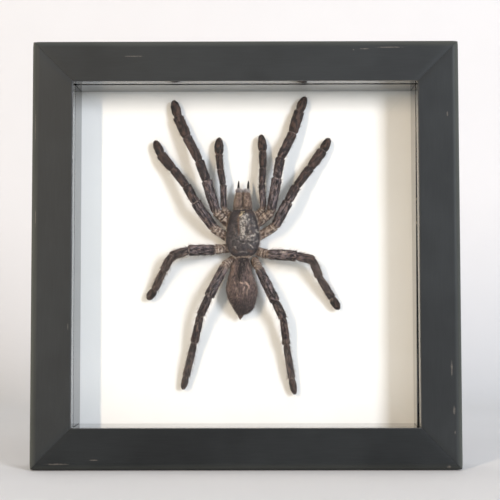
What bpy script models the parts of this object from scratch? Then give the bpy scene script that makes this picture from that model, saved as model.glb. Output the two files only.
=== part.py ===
"""A dried tarantula mounted in a square, deep box frame.

The frame stands on its bottom rail. X runs to the right as seen from the front, Z is up,
and the front of the frame faces -Y. The origin is under the middle of the frame.
"""

import math

import bmesh
import bpy
from mathutils import Vector

MM = 0.001

# Moulding
FRAME_SIDE = 237.0
FRAME_DEPTH = 35.0
RAIL_WIDTH = 23.0
REBATE_WIDTH = 6.6
LIP_THICKNESS = 7.5
OUTER_RADIUS = 4.0
OUTER_ARC_STEPS = 7
EDGE_CHAMFER = 0.4
MITRE_GAP = 0.15

# Layers behind the lip, front to back
FIT_GAP = 0.3
GLASS_THICKNESS = 2.0
SPACER_DEPTH = 17.6
CARD_THICKNESS = 1.2
BOARD_THICKNESS = 2.5
SHEET_SIDE = 203.2
SPACER_INNER_SIDE = 190.2
SPACER_OUTER_SIDE = 202.8
SPACER_SHIFT = (0.1, -0.3)

# Tabs that hold the back board
TAB_LENGTH = 14.0
TAB_REACH = 9.0
TAB_BITE = 3.0
TAB_THICKNESS = 0.6
TAB_OFFSET = 62.0
SLOT_MOUTH = 1.0

# Sawtooth hanger riveted to the back board
HANGER_LENGTH = 46.0
HANGER_HEIGHT = 12.0
HANGER_THICKNESS = 0.8
HANGER_RISE = 1.5
HANGER_RAMP_START = 13.0
HANGER_RAMP_END = 15.0
HANGER_DROP = 34.0
TOOTH_COUNT = 7
TOOTH_PITCH = 3.2
TOOTH_HEIGHT = 1.8
SLOT_HEIGHT = 5.0
CUTTER_MARGIN = 1.0
DRILL_REACH = 6.0
RIVET_OFFSET = 18.5
RIVET_SHANK = 2.4
RIVET_HEAD = 5.0
RIVET_HEAD_HEIGHT = 0.9
RIVET_DOME = ((1.0, 0.0), (0.92, 0.5), (0.6, 0.88), (0.2, 1.0))
RIVET_GRIP = 1.6
ROUND_STEPS = 16

# Spider, measured from the middle of the frame; heights are above the card
BODY_AXIS = -1.7
LIMB_SIDES = 10
BODY_SIDES = 20

GLASS_FRONT = LIP_THICKNESS + FIT_GAP
SPACER_FRONT = GLASS_FRONT + GLASS_THICKNESS + FIT_GAP
CARD_FRONT = SPACER_FRONT + SPACER_DEPTH + FIT_GAP
BOARD_FRONT = CARD_FRONT + CARD_THICKNESS + FIT_GAP
BOARD_BACK = BOARD_FRONT + BOARD_THICKNESS
TAB_FRONT = BOARD_BACK + FIT_GAP
REBATE_WALL = RAIL_WIDTH - REBATE_WIDTH
HALF_SIDE = FRAME_SIDE / 2

# Limb by limb: where the coxa starts (x, z), then length and bearing of each segment.
# A bearing is counted from the head's direction, clockwise as seen from the front.
LEG_ROOTS_AND_SEGMENTS = {
    "leg_1_left": (
        (-9.0, 17.2),
        ((10.4, -48), (18.6, -17), (12.0, -20), (16.0, -27), (13.0, -24), (10.2, -15)),
    ),
    "leg_2_left": (
        (-9.6, 9.6),
        ((10.2, -57), (17.8, -35), (10.5, -29), (12.6, -38), (11.4, -40), (9.1, -23)),
    ),
    "leg_3_left": (
        (-9.4, 4.1),
        ((7.6, -97), (15.5, -93), (10.0, -107), (8.9, -150), (12.4, -154), (7.0, -144)),
    ),
    "leg_4_left": (
        (-7.4, -2.4),
        ((5.5, -128), (20.0, -153), (11.4, -155), (16.0, -167), (19.6, -166), (7.7, -166)),
    ),
    "leg_1_right": (
        (5.5, 17.2),
        ((11.0, 52), (19.6, 10), (11.6, 10), (16.3, 26), (13.6, 17), (9.5, 22)),
    ),
    "leg_2_right": (
        (6.0, 10.0),
        ((12.0, 60), (15.9, 28), (9.6, 29), (13.8, 36), (12.4, 36), (8.4, 28)),
    ),
    "leg_3_right": (
        (5.8, 2.4),
        ((6.4, 108), (16.8, 94), (9.4, 104), (10.0, 159), (14.2, 148), (7.6, 148)),
    ),
    "leg_4_right": (
        (4.6, -2.4),
        ((4.9, 152), (22.0, 154), (10.4, 155), (14.8, 173), (19.3, 171), (9.4, 169)),
    ),
}
PALP_ROOTS_AND_SEGMENTS = {
    "pedipalp_left": (
        (-8.4, 22.0),
        ((6.0, -44), (13.6, -1), (8.9, -11), (8.8, -5), (10.1, 0)),
    ),
    "pedipalp_right": (
        (5.0, 22.0),
        ((6.6, 47), (13.9, -3), (8.9, 4), (9.9, 0), (10.1, -5)),
    ),
}
# Widths of coxa, femur, patella, tibia, metatarsus and tarsus
LEG_WIDTHS = {
    "leg_1": (5.0, 5.8, 5.4, 5.3, 6.0, 5.4),
    "leg_2": (5.0, 5.8, 5.3, 5.0, 5.6, 5.2),
    "leg_3": (5.0, 6.1, 5.3, 4.7, 4.3, 4.7),
    "leg_4": (4.8, 5.6, 4.9, 4.5, 4.1, 4.1),
}
PALP_WIDTHS = (3.6, 3.6, 3.9, 4.2, 5.2)
# Height of the centre line at the root and at the end of each segment
LEG_HEIGHTS = (4.3, 8.0, 12.4, 10.8, 7.2, 4.6, 3.3)
PALP_HEIGHTS = (4.0, 6.0, 8.8, 7.8, 5.4, 3.7)
JOINT_NECK = 0.80
SEGMENT_SWELL = ((0.22, 0.95), (0.50, 1.0), (0.80, 0.96))
TARSUS_SWELL = ((0.22, 0.95), (0.50, 1.0), (0.78, 0.82), (0.94, 0.5), (1.0, 0.22))

# Stations along the body: distance up the frame, half width, underside, top
CARAPACE_STATIONS = (
    (26.2, 3.6, 9.4),
    (25.2, 5.4, 11.6),
    (22.0, 7.3, 13.6),
    (17.0, 8.6, 14.2),
    (11.5, 9.4, 13.8),
    (6.5, 9.5, 13.0),
    (2.5, 8.6, 12.2),
    (-0.4, 6.4, 11.0),
    (-1.6, 3.6, 9.6),
)
CARAPACE_RIM = 8.2
STERNUM_TOP = 7.6
STERNUM_FOOT = 0.4
STERNUM_SHARE = 0.58
ABDOMEN_STATIONS = (  # distance up the frame, middle off the axis, half width, underside, top
    (-2.1, 0.0, 1.4, 5.0, 8.4),
    (-3.2, -0.1, 3.8, 2.6, 10.8),
    (-5.6, -0.4, 5.0, 1.6, 12.4),
    (-8.4, -0.8, 6.0, 1.0, 13.3),
    (-11.3, -0.9, 6.8, 0.6, 13.9),
    (-15.5, -0.85, 8.1, 0.5, 14.6),
    (-19.7, -0.6, 8.9, 0.4, 14.8),
    (-23.5, -0.4, 8.3, 0.5, 14.0),
    (-27.0, -0.1, 7.0, 0.9, 12.6),
    (-30.5, 0.3, 5.3, 2.0, 10.4),
    (-32.2, 0.0, 3.9, 2.9, 8.8),
    (-33.2, -0.6, 2.2, 3.8, 7.4),
)
CHELICERA_STATIONS = (
    (26.8, 2.5, 2.6, 10.4),
    (29.5, 2.65, 2.2, 11.4),
    (32.5, 2.5, 2.6, 10.8),
    (35.0, 1.9, 3.6, 9.4),
    (36.4, 0.9, 4.8, 7.8),
)
CHELICERA_OFFSET = 2.8
CHELICERA_SIDES = 12
FANG_BASE = 36.9
FANG_REACH = 4.3
FANG_DROP = 2.8
FANG_HEIGHT = 6.4
FANG_RADIUS = 0.6
FANG_TAPER = 0.8
FANG_STEPS = 5
FANG_SIDES = 8
SPINNERET_START = -33.8
SPINNERET_LENGTH = 3.0
SPINNERET_RADIUS = 0.85
SPINNERET_HEIGHT = 4.6
SPINNERET_MIDDLE = -1.2
SPINNERET_SPREAD = (1.1, 0.6)
SPINNERET_SWELL = ((0, 0.8), (0.4, 1.0), (0.8, 0.75), (1.0, 0.35))
SPINNERET_SIDES = 8


def clear_scene():
    for item in list(bpy.data.objects):
        bpy.data.objects.remove(item, do_unlink=True)


def make_material(name, colour, roughness, metallic=0.0):
    material = bpy.data.materials.new(name)
    material.use_nodes = True
    shader = material.node_tree.nodes["Principled BSDF"]
    shader.inputs["Base Color"].default_value = (*colour, 1.0)
    shader.inputs["Roughness"].default_value = roughness
    shader.inputs["Metallic"].default_value = metallic
    return material


def add_object(name, mesh, material, smooth=False):
    item = bpy.data.objects.new(name, mesh)
    bpy.context.collection.objects.link(item)
    if not mesh.materials:
        mesh.materials.append(material)
    if smooth:
        mesh.shade_smooth()
        mesh.set_sharp_from_angle(angle=math.radians(40))
    return item


def loft_mesh(name, rings):
    """Closed skin over rings of points that all run the same way round."""
    mesh = bpy.data.meshes.new(name)
    shape = bmesh.new()
    loops = [[shape.verts.new(Vector(point) * MM) for point in ring] for ring in rings]
    for near, far in zip(loops, loops[1:]):
        for i in range(len(near)):
            j = (i + 1) % len(near)
            shape.faces.new((near[i], near[j], far[j], far[i]))
    shape.faces.new(list(reversed(loops[0])))
    shape.faces.new(loops[-1])
    bmesh.ops.recalc_face_normals(shape, faces=shape.faces)
    shape.to_mesh(mesh)
    shape.free()
    return mesh


def block_mesh(name, low, high):
    """Box between two corners."""
    (x0, y0, z0), (x1, y1, z1) = low, high
    front = [(x0, y0, z0), (x1, y0, z0), (x1, y0, z1), (x0, y0, z1)]
    back = [(x0, y1, z0), (x1, y1, z0), (x1, y1, z1), (x0, y1, z1)]
    return loft_mesh(name, (front, back))


def disc_points(radius, depth, steps=ROUND_STEPS):
    turns = [2 * math.pi * i / steps for i in range(steps)]
    return [(radius * math.cos(a), depth, radius * math.sin(a)) for a in turns]


def cut(item, cutter_mesh, name, location=(0, 0, 0)):
    """Take a guide shape out of an object; the guide follows the object."""
    cutter = bpy.data.objects.new(name, cutter_mesh)
    bpy.context.collection.objects.link(cutter)
    cutter.parent = item
    cutter.location = Vector(location) * MM
    cutter.hide_render = True
    cutter.display_type = "WIRE"
    modifier = item.modifiers.new(name, "BOOLEAN")
    modifier.operation = "DIFFERENCE"
    modifier.object = cutter


# ---- Moulding -------------------------------------------------------------------------


def rail_outline():
    """Section of the moulding: (distance in from the outer edge, distance back)."""
    outline = []
    for i in range(OUTER_ARC_STEPS + 1):
        angle = math.pi / 2 * i / OUTER_ARC_STEPS
        outline.append((OUTER_RADIUS * (1 - math.cos(angle)), OUTER_RADIUS * (1 - math.sin(angle))))
    outline.append((RAIL_WIDTH - EDGE_CHAMFER, 0.0))
    outline.append((RAIL_WIDTH, EDGE_CHAMFER))
    outline.append((RAIL_WIDTH, LIP_THICKNESS))
    outline.append((REBATE_WALL, LIP_THICKNESS))
    outline.append((REBATE_WALL, FRAME_DEPTH))
    outline.append((0.0, FRAME_DEPTH))
    return outline


def rail_mesh():
    """Bottom rail about the middle of the frame, with its ends mitred at 45 degrees."""
    ends = []
    for side in (-1, 1):
        ring = []
        for inward, back in rail_outline():
            along = side * (HALF_SIDE - inward - MITRE_GAP)
            ring.append((along, back - FRAME_DEPTH / 2, inward - HALF_SIDE))
        ends.append(ring)
    return loft_mesh("rail", ends)


def tab_blocks():
    """A tab and the slot it is driven into, on the bottom rail about the frame's middle."""
    half = TAB_LENGTH / 2
    front = TAB_FRONT - FRAME_DEPTH / 2
    wall = REBATE_WALL - HALF_SIDE
    tab = block_mesh("tab", (-half, front, wall - TAB_BITE), (half, front + TAB_THICKNESS, wall + TAB_REACH))
    slot = block_mesh(
        "tab_slot",
        (-half - FIT_GAP, front - FIT_GAP, wall - TAB_BITE - FIT_GAP),
        (half + FIT_GAP, front + TAB_THICKNESS + FIT_GAP, wall + SLOT_MOUTH),
    )
    return tab, slot


def build_frame(paint, steel):
    tab, slot = tab_blocks()
    for quarter, side in enumerate(("bottom", "left", "top", "right")):
        rail = add_object("rail_" + side, rail_mesh(), paint)
        rail.data.shade_smooth()
        rail.data.set_sharp_from_angle(angle=math.radians(30))
        rail.location = (0, 0, HALF_SIDE * MM)
        rail.rotation_euler = (0, quarter * math.pi / 2, 0)
        for number, offset in enumerate((-TAB_OFFSET, TAB_OFFSET), start=1):
            cut(rail, slot, f"slot_{side}_{number}", (offset, 0, 0))
            piece = add_object(f"retaining_tab_{side}_{number}", tab, steel)
            piece.parent = rail
            piece.location = (offset * MM, 0, 0)


# ---- What lies behind the lip ---------------------------------------------------------


def sheet(name, front, thickness, material):
    half = SHEET_SIDE / 2
    mesh = block_mesh(name, (-half, 0, -half), (half, thickness, half))
    item = add_object(name, mesh, material)
    item.location = (0, (front - FRAME_DEPTH / 2) * MM, HALF_SIDE * MM)
    return item


def build_layers(glass, gloss_black, card, fibreboard):
    sheet("glass_pane", GLASS_FRONT, GLASS_THICKNESS, glass)
    sheet("backing_card", CARD_FRONT, CARD_THICKNESS, card)
    board = sheet("back_board", BOARD_FRONT, BOARD_THICKNESS, fibreboard)
    outer = SPACER_OUTER_SIDE / 2
    inner = SPACER_INNER_SIDE / 2
    strips = {
        "spacer_top": ((-outer, inner), (outer, outer)),
        "spacer_bottom": ((-outer, -outer), (outer, -inner)),
        "spacer_left": ((-outer, -inner + FIT_GAP), (-inner, inner - FIT_GAP)),
        "spacer_right": ((inner, -inner + FIT_GAP), (outer, inner - FIT_GAP)),
    }
    for name, ((x0, z0), (x1, z1)) in strips.items():
        mesh = block_mesh(name, (x0, 0, z0), (x1, SPACER_DEPTH, z1))
        strip = add_object(name, mesh, gloss_black)
        strip.location = (
            SPACER_SHIFT[0] * MM,
            (SPACER_FRONT - FRAME_DEPTH / 2) * MM,
            (HALF_SIDE + SPACER_SHIFT[1]) * MM,
        )
    return board


# ---- Hanger ---------------------------------------------------------------------------


def hanger_mesh():
    """Strip with flat ends and a raised middle, as one outline pushed up the frame."""
    half = HANGER_LENGTH / 2
    bends = ((-half, 0), (-HANGER_RAMP_END, 0), (-HANGER_RAMP_START, HANGER_RISE))
    front = list(bends) + [(-x, rise) for x, rise in reversed(bends)]
    back = [(x, rise + HANGER_THICKNESS) for x, rise in reversed(front)]
    low, high = -HANGER_HEIGHT / 2, HANGER_HEIGHT / 2
    rings = [[(x, y, z) for x, y in front + back] for z in (low, high)]
    return loft_mesh("sawtooth_hanger", rings)


def tooth_cutter():
    """Slot whose upper edge is a row of teeth for the nail to settle in."""
    half = TOOTH_COUNT * TOOTH_PITCH / 2
    outline = [(-half, -SLOT_HEIGHT / 2), (half, -SLOT_HEIGHT / 2)]
    edge = SLOT_HEIGHT / 2
    for i in range(TOOTH_COUNT, 0, -1):
        start = -half + i * TOOTH_PITCH
        outline.append((start, edge))
        outline.append((start - TOOTH_PITCH / 2, edge - TOOTH_HEIGHT))
    outline.append((-half, edge))
    depths = (HANGER_RISE - CUTTER_MARGIN, HANGER_RISE + HANGER_THICKNESS + CUTTER_MARGIN)
    return loft_mesh("tooth_slot", [[(x, y, z) for x, z in outline] for y in depths])


def rivet_mesh():
    """Domed head on the hanger and a shank into the board, turned about the depth axis."""
    shank = RIVET_SHANK / 2
    head = RIVET_HEAD / 2
    seat = HANGER_THICKNESS + 2 * FIT_GAP
    profile = [(shank, -RIVET_GRIP), (shank, seat)]
    profile += [(head * wide, seat + RIVET_HEAD_HEIGHT * high) for wide, high in RIVET_DOME]
    return loft_mesh("rivet", [disc_points(radius, depth) for radius, depth in profile])


def build_hanger(board, steel):
    height = HALF_SIDE * 2 - HANGER_DROP
    board_back = (BOARD_BACK - FRAME_DEPTH / 2) * MM
    hanger = add_object("sawtooth_hanger", hanger_mesh(), steel)
    hanger.location = (0, board_back + FIT_GAP * MM, height * MM)
    cut(hanger, tooth_cutter(), "hanger_slot")
    hole = RIVET_SHANK / 2 + FIT_GAP
    drill = loft_mesh("drill", [disc_points(hole, depth) for depth in (-DRILL_REACH, DRILL_REACH)])
    rivet = rivet_mesh()
    for side, offset in (("left", -RIVET_OFFSET), ("right", RIVET_OFFSET)):
        cut(hanger, drill, "hanger_hole_" + side, (offset, 0, 0))
        cut(board, drill, "board_hole_" + side, (offset, 0, height - HALF_SIDE))
        pin = add_object("hanger_rivet_" + side, rivet, steel, smooth=True)
        pin.location = (offset * MM, board_back, height * MM)


# ---- Spider ---------------------------------------------------------------------------


def place(x, height, z):
    """Point over the card: across and up from the frame's middle, and out from the card."""
    return (x, CARD_FRONT - height - FRAME_DEPTH / 2, z + HALF_SIDE)


def ring_about(centre, direction, radius, sides):
    """Round section of a limb, square to the way the limb runs."""
    across = direction.cross(Vector((0, 1, 0))).normalized()
    out = across.cross(direction).normalized()
    ring = []
    for i in range(sides):
        angle = 2 * math.pi * i / sides
        ring.append(centre + radius * (math.cos(angle) * across + math.sin(angle) * out))
    return ring


def limb_mesh(name, root, segments, heights, widths):
    """Jointed limb: each segment swells between two narrower joints."""
    joints = [Vector(place(root[0], heights[0], root[1]))]
    x, z = root
    for (length, bearing), height in zip(segments, heights[1:]):
        x += length * math.sin(math.radians(bearing))
        z += length * math.cos(math.radians(bearing))
        joints.append(Vector(place(x, height, z)))
    ways = [(b - a).normalized() for a, b in zip(joints, joints[1:])]
    rings = []
    for i, way in enumerate(ways):
        before = ways[max(i - 1, 0)]
        neck = JOINT_NECK * (widths[i] + widths[max(i - 1, 0)]) / 4
        rings.append(ring_about(joints[i], (before + way).normalized(), neck, LIMB_SIDES))
        swell = TARSUS_SWELL if i == len(ways) - 1 else SEGMENT_SWELL
        for share, factor in swell:
            centre = joints[i].lerp(joints[i + 1], share)
            rings.append(ring_about(centre, way, widths[i] / 2 * factor, LIMB_SIDES))
    return loft_mesh(name, rings)


def carapace_ring(z, half_width, top):
    """Domed shield over a narrower breast plate, leaving room for the coxae."""
    ring = []
    arch_steps = BODY_SIDES // 2
    for i in range(arch_steps + 1):
        angle = math.pi * i / arch_steps
        rise = (top - CARAPACE_RIM) * math.sin(angle)
        ring.append(place(BODY_AXIS + half_width * math.cos(angle), CARAPACE_RIM + rise, z))
    belly = half_width * STERNUM_SHARE
    for share, height in ((-1, STERNUM_TOP), (-0.92, 2.0), (-0.5, STERNUM_FOOT)):
        ring.append(place(BODY_AXIS + belly * share, height, z))
    for share, height in ((0.5, STERNUM_FOOT), (0.92, 2.0), (1, STERNUM_TOP)):
        ring.append(place(BODY_AXIS + belly * share, height, z))
    return ring


def oval_ring(x, z, half_width, low, high, sides=BODY_SIDES):
    middle = (low + high) / 2
    half_height = (high - low) / 2
    ring = []
    for i in range(sides):
        angle = 2 * math.pi * i / sides
        ring.append(place(x + half_width * math.cos(angle), middle + half_height * math.sin(angle), z))
    return ring


def fang_mesh(name, x):
    """Curved claw that runs forward from the chelicera and bends down to the card."""
    rings = []
    for i in range(FANG_STEPS + 1):
        share = i / FANG_STEPS
        angle = share * math.pi / 2
        height = FANG_HEIGHT - FANG_DROP * (1 - math.cos(angle))
        centre = Vector(place(x, height, FANG_BASE + FANG_REACH * math.sin(angle)))
        way = Vector((0, FANG_DROP * math.sin(angle), FANG_REACH * math.cos(angle))).normalized()
        across = Vector((1, 0, 0))
        out = across.cross(way)
        radius = FANG_RADIUS * (1 - FANG_TAPER * share)
        turns = [2 * math.pi * k / FANG_SIDES for k in range(FANG_SIDES)]
        rings.append([centre + radius * (math.cos(a) * across + math.sin(a) * out) for a in turns])
    return loft_mesh(name, rings)


def spinneret_mesh(name, sign):
    """Short finger behind the abdomen; the two lean towards each other."""
    near, far = SPINNERET_SPREAD
    rings = []
    for share, girth in SPINNERET_SWELL:
        x = BODY_AXIS + SPINNERET_MIDDLE + sign * (near + (far - near) * share)
        z = SPINNERET_START - share * SPINNERET_LENGTH
        radius = SPINNERET_RADIUS * girth
        low, high = SPINNERET_HEIGHT - radius, SPINNERET_HEIGHT + radius
        rings.append(oval_ring(x, z, radius, low, high, sides=SPINNERET_SIDES))
    return loft_mesh(name, rings)


def build_spider(cuticle, hide, claw):
    mesh = loft_mesh("cephalothorax", [carapace_ring(*station) for station in CARAPACE_STATIONS])
    add_object("cephalothorax", mesh, cuticle, smooth=True)
    rings = []
    for z, middle, half_width, low, high in ABDOMEN_STATIONS:
        rings.append(oval_ring(BODY_AXIS + middle, z, half_width, low, high))
    add_object("abdomen", loft_mesh("abdomen", rings), hide, smooth=True)
    for side, sign in (("left", -1), ("right", 1)):
        x = BODY_AXIS + sign * CHELICERA_OFFSET
        rings = [oval_ring(x, *station, sides=CHELICERA_SIDES) for station in CHELICERA_STATIONS]
        add_object("chelicera_" + side, loft_mesh("chelicera", rings), hide, smooth=True)
        add_object("fang_" + side, fang_mesh("fang", x), claw, smooth=True)
        add_object("spinneret_" + side, spinneret_mesh("spinneret", sign), hide, smooth=True)
    for name, (root, segments) in LEG_ROOTS_AND_SEGMENTS.items():
        widths = LEG_WIDTHS[name[:5]]
        mesh = limb_mesh(name, root, segments, LEG_HEIGHTS, widths)
        add_object(name, mesh, cuticle, smooth=True)
    for name, (root, segments) in PALP_ROOTS_AND_SEGMENTS.items():
        mesh = limb_mesh(name, root, segments, PALP_HEIGHTS, PALP_WIDTHS)
        add_object(name, mesh, cuticle, smooth=True)


def main():
    clear_scene()
    paint = make_material("charcoal paint", (0.065, 0.068, 0.07), 0.45)
    gloss_black = make_material("gloss black", (0.01, 0.01, 0.01), 0.12)
    glass = make_material("glass", (0.95, 0.97, 0.96), 0.02)
    card = make_material("white card", (0.86, 0.86, 0.85), 0.8)
    fibreboard = make_material("fibreboard", (0.30, 0.20, 0.12), 0.75)
    steel = make_material("zinc plate", (0.55, 0.55, 0.56), 0.35, 1.0)
    cuticle = make_material("dark cuticle", (0.045, 0.03, 0.027), 0.6)
    hide = make_material("brown hide", (0.12, 0.075, 0.055), 0.7)
    claw = make_material("black claw", (0.012, 0.01, 0.01), 0.25)
    build_frame(paint, steel)
    board = build_layers(glass, gloss_black, card, fibreboard)
    build_hanger(board, steel)
    build_spider(cuticle, hide, claw)


main()
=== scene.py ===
import math

import bpy
import numpy as np
from mathutils import Matrix, Vector, noise


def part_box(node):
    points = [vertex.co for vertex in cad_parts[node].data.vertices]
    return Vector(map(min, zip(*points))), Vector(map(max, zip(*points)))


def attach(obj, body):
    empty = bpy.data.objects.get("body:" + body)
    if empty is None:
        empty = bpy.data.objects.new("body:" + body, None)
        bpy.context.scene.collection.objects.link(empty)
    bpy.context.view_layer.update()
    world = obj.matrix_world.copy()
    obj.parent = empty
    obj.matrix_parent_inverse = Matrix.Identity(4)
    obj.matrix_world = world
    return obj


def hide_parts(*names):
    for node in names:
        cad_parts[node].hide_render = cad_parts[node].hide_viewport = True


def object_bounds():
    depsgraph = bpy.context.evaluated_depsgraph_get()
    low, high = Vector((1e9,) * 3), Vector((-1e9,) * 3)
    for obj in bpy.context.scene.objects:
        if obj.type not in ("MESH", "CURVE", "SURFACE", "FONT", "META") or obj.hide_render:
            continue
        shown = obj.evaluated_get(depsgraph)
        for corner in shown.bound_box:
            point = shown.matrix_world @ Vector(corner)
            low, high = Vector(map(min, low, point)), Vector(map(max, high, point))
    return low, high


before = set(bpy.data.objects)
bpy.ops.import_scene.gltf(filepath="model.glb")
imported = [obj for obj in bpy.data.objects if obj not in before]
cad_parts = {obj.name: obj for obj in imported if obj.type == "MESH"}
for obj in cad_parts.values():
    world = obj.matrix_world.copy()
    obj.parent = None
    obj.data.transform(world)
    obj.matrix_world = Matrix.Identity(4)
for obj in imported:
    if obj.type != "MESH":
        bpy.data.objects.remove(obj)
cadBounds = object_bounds()
lowCorner, highCorner = cadBounds

mm = 0.001
# the frame's measures, in millimetres
frameHalf = (highCorner.x - lowCorner.x) / 2 / mm
frameFront = lowCorner.y / mm
frameBack = highCorner.y / mm
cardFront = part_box("backing_card")[0].y / mm
rng = np.random.default_rng(7)


class Value:
    # a socket that can be used in sums; each sum adds one Math node
    def __init__(self, finish, socket):
        self.finish = finish
        self.socket = socket

    def sum(self, operation, first, second=0.0):
        return self.finish.add("Math", {"operation": operation}, {0: first, 1: second})

    def __add__(self, other):
        return self.sum("ADD", self, other)

    def __radd__(self, other):
        return self.sum("ADD", other, self)

    def __sub__(self, other):
        return self.sum("SUBTRACT", self, other)

    def __rsub__(self, other):
        return self.sum("SUBTRACT", other, self)

    def __mul__(self, other):
        return self.sum("MULTIPLY", self, other)

    def __rmul__(self, other):
        return self.sum("MULTIPLY", other, self)

    def __truediv__(self, other):
        return self.sum("DIVIDE", self, other)

    def __pow__(self, other):
        return self.sum("POWER", self, other)

    def size(self):
        return self.sum("ABSOLUTE", self)

    def most(self, other):
        return self.sum("MAXIMUM", self, other)

    def least(self, other):
        return self.sum("MINIMUM", self, other)


class Finish:
    def __init__(self, name):
        self.material = bpy.data.materials.new(name)
        self.material.use_nodes = True
        self.tree = self.material.node_tree
        self.tree.nodes.clear()

    def add(self, kind, settings=None, inputs=None, out=0):
        node = self.tree.nodes.new("ShaderNode" + kind)
        for key, value in (settings or {}).items():
            setattr(node, key, value)
        for key, value in (inputs or {}).items():
            if isinstance(value, Value):
                self.tree.links.new(value.socket, node.inputs[key])
            else:
                node.inputs[key].default_value = value
        return Value(self, node.outputs[out])

    def place(self, stretch=(1, 1, 1)):  # the object's own millimetres, stretched along X, Y, Z
        spot = self.add("TexCoord", out="Object")
        scale = tuple(1 / mm / s for s in stretch)
        return self.add("VectorMath", {"operation": "MULTIPLY"}, {0: spot, 1: scale})

    def axes(self):
        parts = self.add("SeparateXYZ", None, {0: self.place()})
        node = parts.socket.node
        return [Value(self, node.outputs[i]) for i in range(3)]

    def cloud(self, grain, stretch=(1, 1, 1), detail=3.0, rough=0.55):  # noise, grain in millimetres
        inputs = {"Vector": self.place(stretch), "Scale": 1 / grain, "Detail": detail, "Roughness": rough}
        return self.add("TexNoise", None, inputs)

    def cells(self, grain, stretch=(1, 1, 1)):
        return self.add("TexVoronoi", None, {"Vector": self.place(stretch), "Scale": 1 / grain})

    def step(self, value, low, high):
        inputs = {"Value": value, "From Min": low, "From Max": high}
        return self.add("MapRange", {"interpolation_type": "SMOOTHSTEP"}, inputs)

    def mix(self, share, first, second):
        return self.add("Mix", {"data_type": "RGBA"}, {0: share, 6: first, 7: second}, out=2)

    def mark(self, name):  # a number stored on the mesh
        return self.add("Attribute", {"attribute_name": name}, out="Fac")

    def bump(self, height, distance, strength=1.0):  # distance in millimetres
        inputs = {"Height": height, "Distance": distance * mm, "Strength": strength}
        return self.add("Bump", None, inputs)

    def end(self, surface):
        out = self.tree.nodes.new("ShaderNodeOutputMaterial")
        self.tree.links.new(surface.socket, out.inputs["Surface"])
        return self.material

    def body(self, **inputs):  # a Principled shader; plain words become socket names
        names = {key.replace("_", " "): value for key, value in inputs.items()}
        return self.end(self.add("BsdfPrincipled", None, names))


def tint(red, green, blue):  # a screen colour, from 0 to 255
    def linear(level):
        level /= 255
        return level / 12.92 if level <= 0.04045 else ((level + 0.055) / 1.055) ** 2.4
    return (linear(red), linear(green), linear(blue), 1.0)


# mesh helpers, all in millimetres

def addPiece(name, mesh, finish, replaces=(), smooth=True):
    piece = bpy.data.objects.new(name, mesh)
    bpy.context.scene.collection.objects.link(piece)
    mesh.materials.append(finish)
    if smooth:
        mesh.shade_smooth()
    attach(piece, "root")
    if replaces:
        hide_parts(*replaces)


def storeMarks(mesh, marks):
    for name, values in (marks or {}).items():
        layer = mesh.attributes.new(name, "FLOAT", "POINT")
        layer.data.foreach_set("value", np.asarray(values, dtype=np.float32))


def ringFaces(count, sides, first=0):
    i = np.arange(count - 1)[:, None] * sides
    j = np.arange(sides)[None, :]
    k = (j + 1) % sides
    quads = np.stack([i + j, i + k, i + sides + k, i + sides + j], axis=-1)
    return (quads.reshape(-1, 4) + first).tolist()


def skin(name, rings, marks=None):  # closed skin over rings of points, in millimetres
    count, sides = rings.shape[:2]
    points = rings.reshape(-1, 3)
    ends = np.stack([rings[0].mean(axis=0), rings[-1].mean(axis=0)])
    faces = ringFaces(count, sides)
    nearEnd, farEnd = count * sides, count * sides + 1
    last = (count - 1) * sides
    for j in range(sides):
        k = (j + 1) % sides
        faces.append((nearEnd, k, j))
        faces.append((farEnd, last + j, last + k))
    mesh = bpy.data.meshes.new(name)
    mesh.from_pydata((np.concatenate([points, ends]) * mm).tolist(), [], faces)
    full = {}
    for key, values in (marks or {}).items():
        values = np.asarray(values).reshape(count, sides)
        full[key] = np.concatenate([values.ravel(), [values[0].mean(), values[-1].mean()]])
    storeMarks(mesh, full)
    if meshVolume(mesh) < 0:
        mesh.flip_normals()
    return mesh


def meshVolume(mesh):
    mesh.calc_loop_triangles()
    total = 0.0
    for triangle in mesh.loop_triangles:
        a, b, c = (mesh.vertices[i].co for i in triangle.vertices)
        total += a.dot(b.cross(c))
    return total


def softCurve(stations, where):  # smooth curve through (position, value, ...) rows
    stations = np.array(sorted(stations), dtype=float)
    spots = stations[:, 0]
    values = stations[:, 1:]
    slopes = np.gradient(values, spots, axis=0)
    where = np.clip(np.asarray(where, dtype=float), spots[0], spots[-1])
    i = np.clip(np.searchsorted(spots, where) - 1, 0, len(spots) - 2)
    gap = (spots[i + 1] - spots[i])[:, None]
    t = ((where - spots[i])[:, None]) / gap
    a, b = values[i], values[i + 1]
    m, n = slopes[i] * gap, slopes[i + 1] * gap
    return (2*t**3 - 3*t**2 + 1)*a + (t**3 - 2*t**2 + t)*m + (3*t**2 - 2*t**3)*b + (t**3 - t**2)*n


def ease(value, low, high):
    t = np.clip((np.asarray(value, dtype=float) - low) / (high - low), 0, 1)
    return t * t * (3 - 2 * t)


def rough(points, grain, seed=0.0):  # smooth noise from -1 to 1 at each point, grain in millimetres
    flat = np.asarray(points, dtype=float).reshape(-1, 3) / grain + seed
    values = [noise.noise(Vector(p)) for p in flat]
    return np.array(values).reshape(np.asarray(points).shape[:-1])


def unit(vectors):
    size = np.linalg.norm(vectors, axis=-1, keepdims=True)
    return vectors / np.maximum(size, 1e-9)


def onCard(x, height, z):  # a point over the card, from the frame's middle, in millimetres
    spots = np.broadcast_arrays(x, cardFront - np.asarray(height), np.asarray(z) + frameHalf)
    return np.stack(spots, axis=-1)


strand = {
    "sunk": 0.12,  # how far the root is under the skin
    "bendAt": 0.55,  # share of the length
    "bendWidth": 0.7,  # share of the root's width
    "clumps": (1.3, 21.0, 1.3),  # grain, seed and strength of the light and dark locks
    "scatter": 0.2,
}


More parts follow.
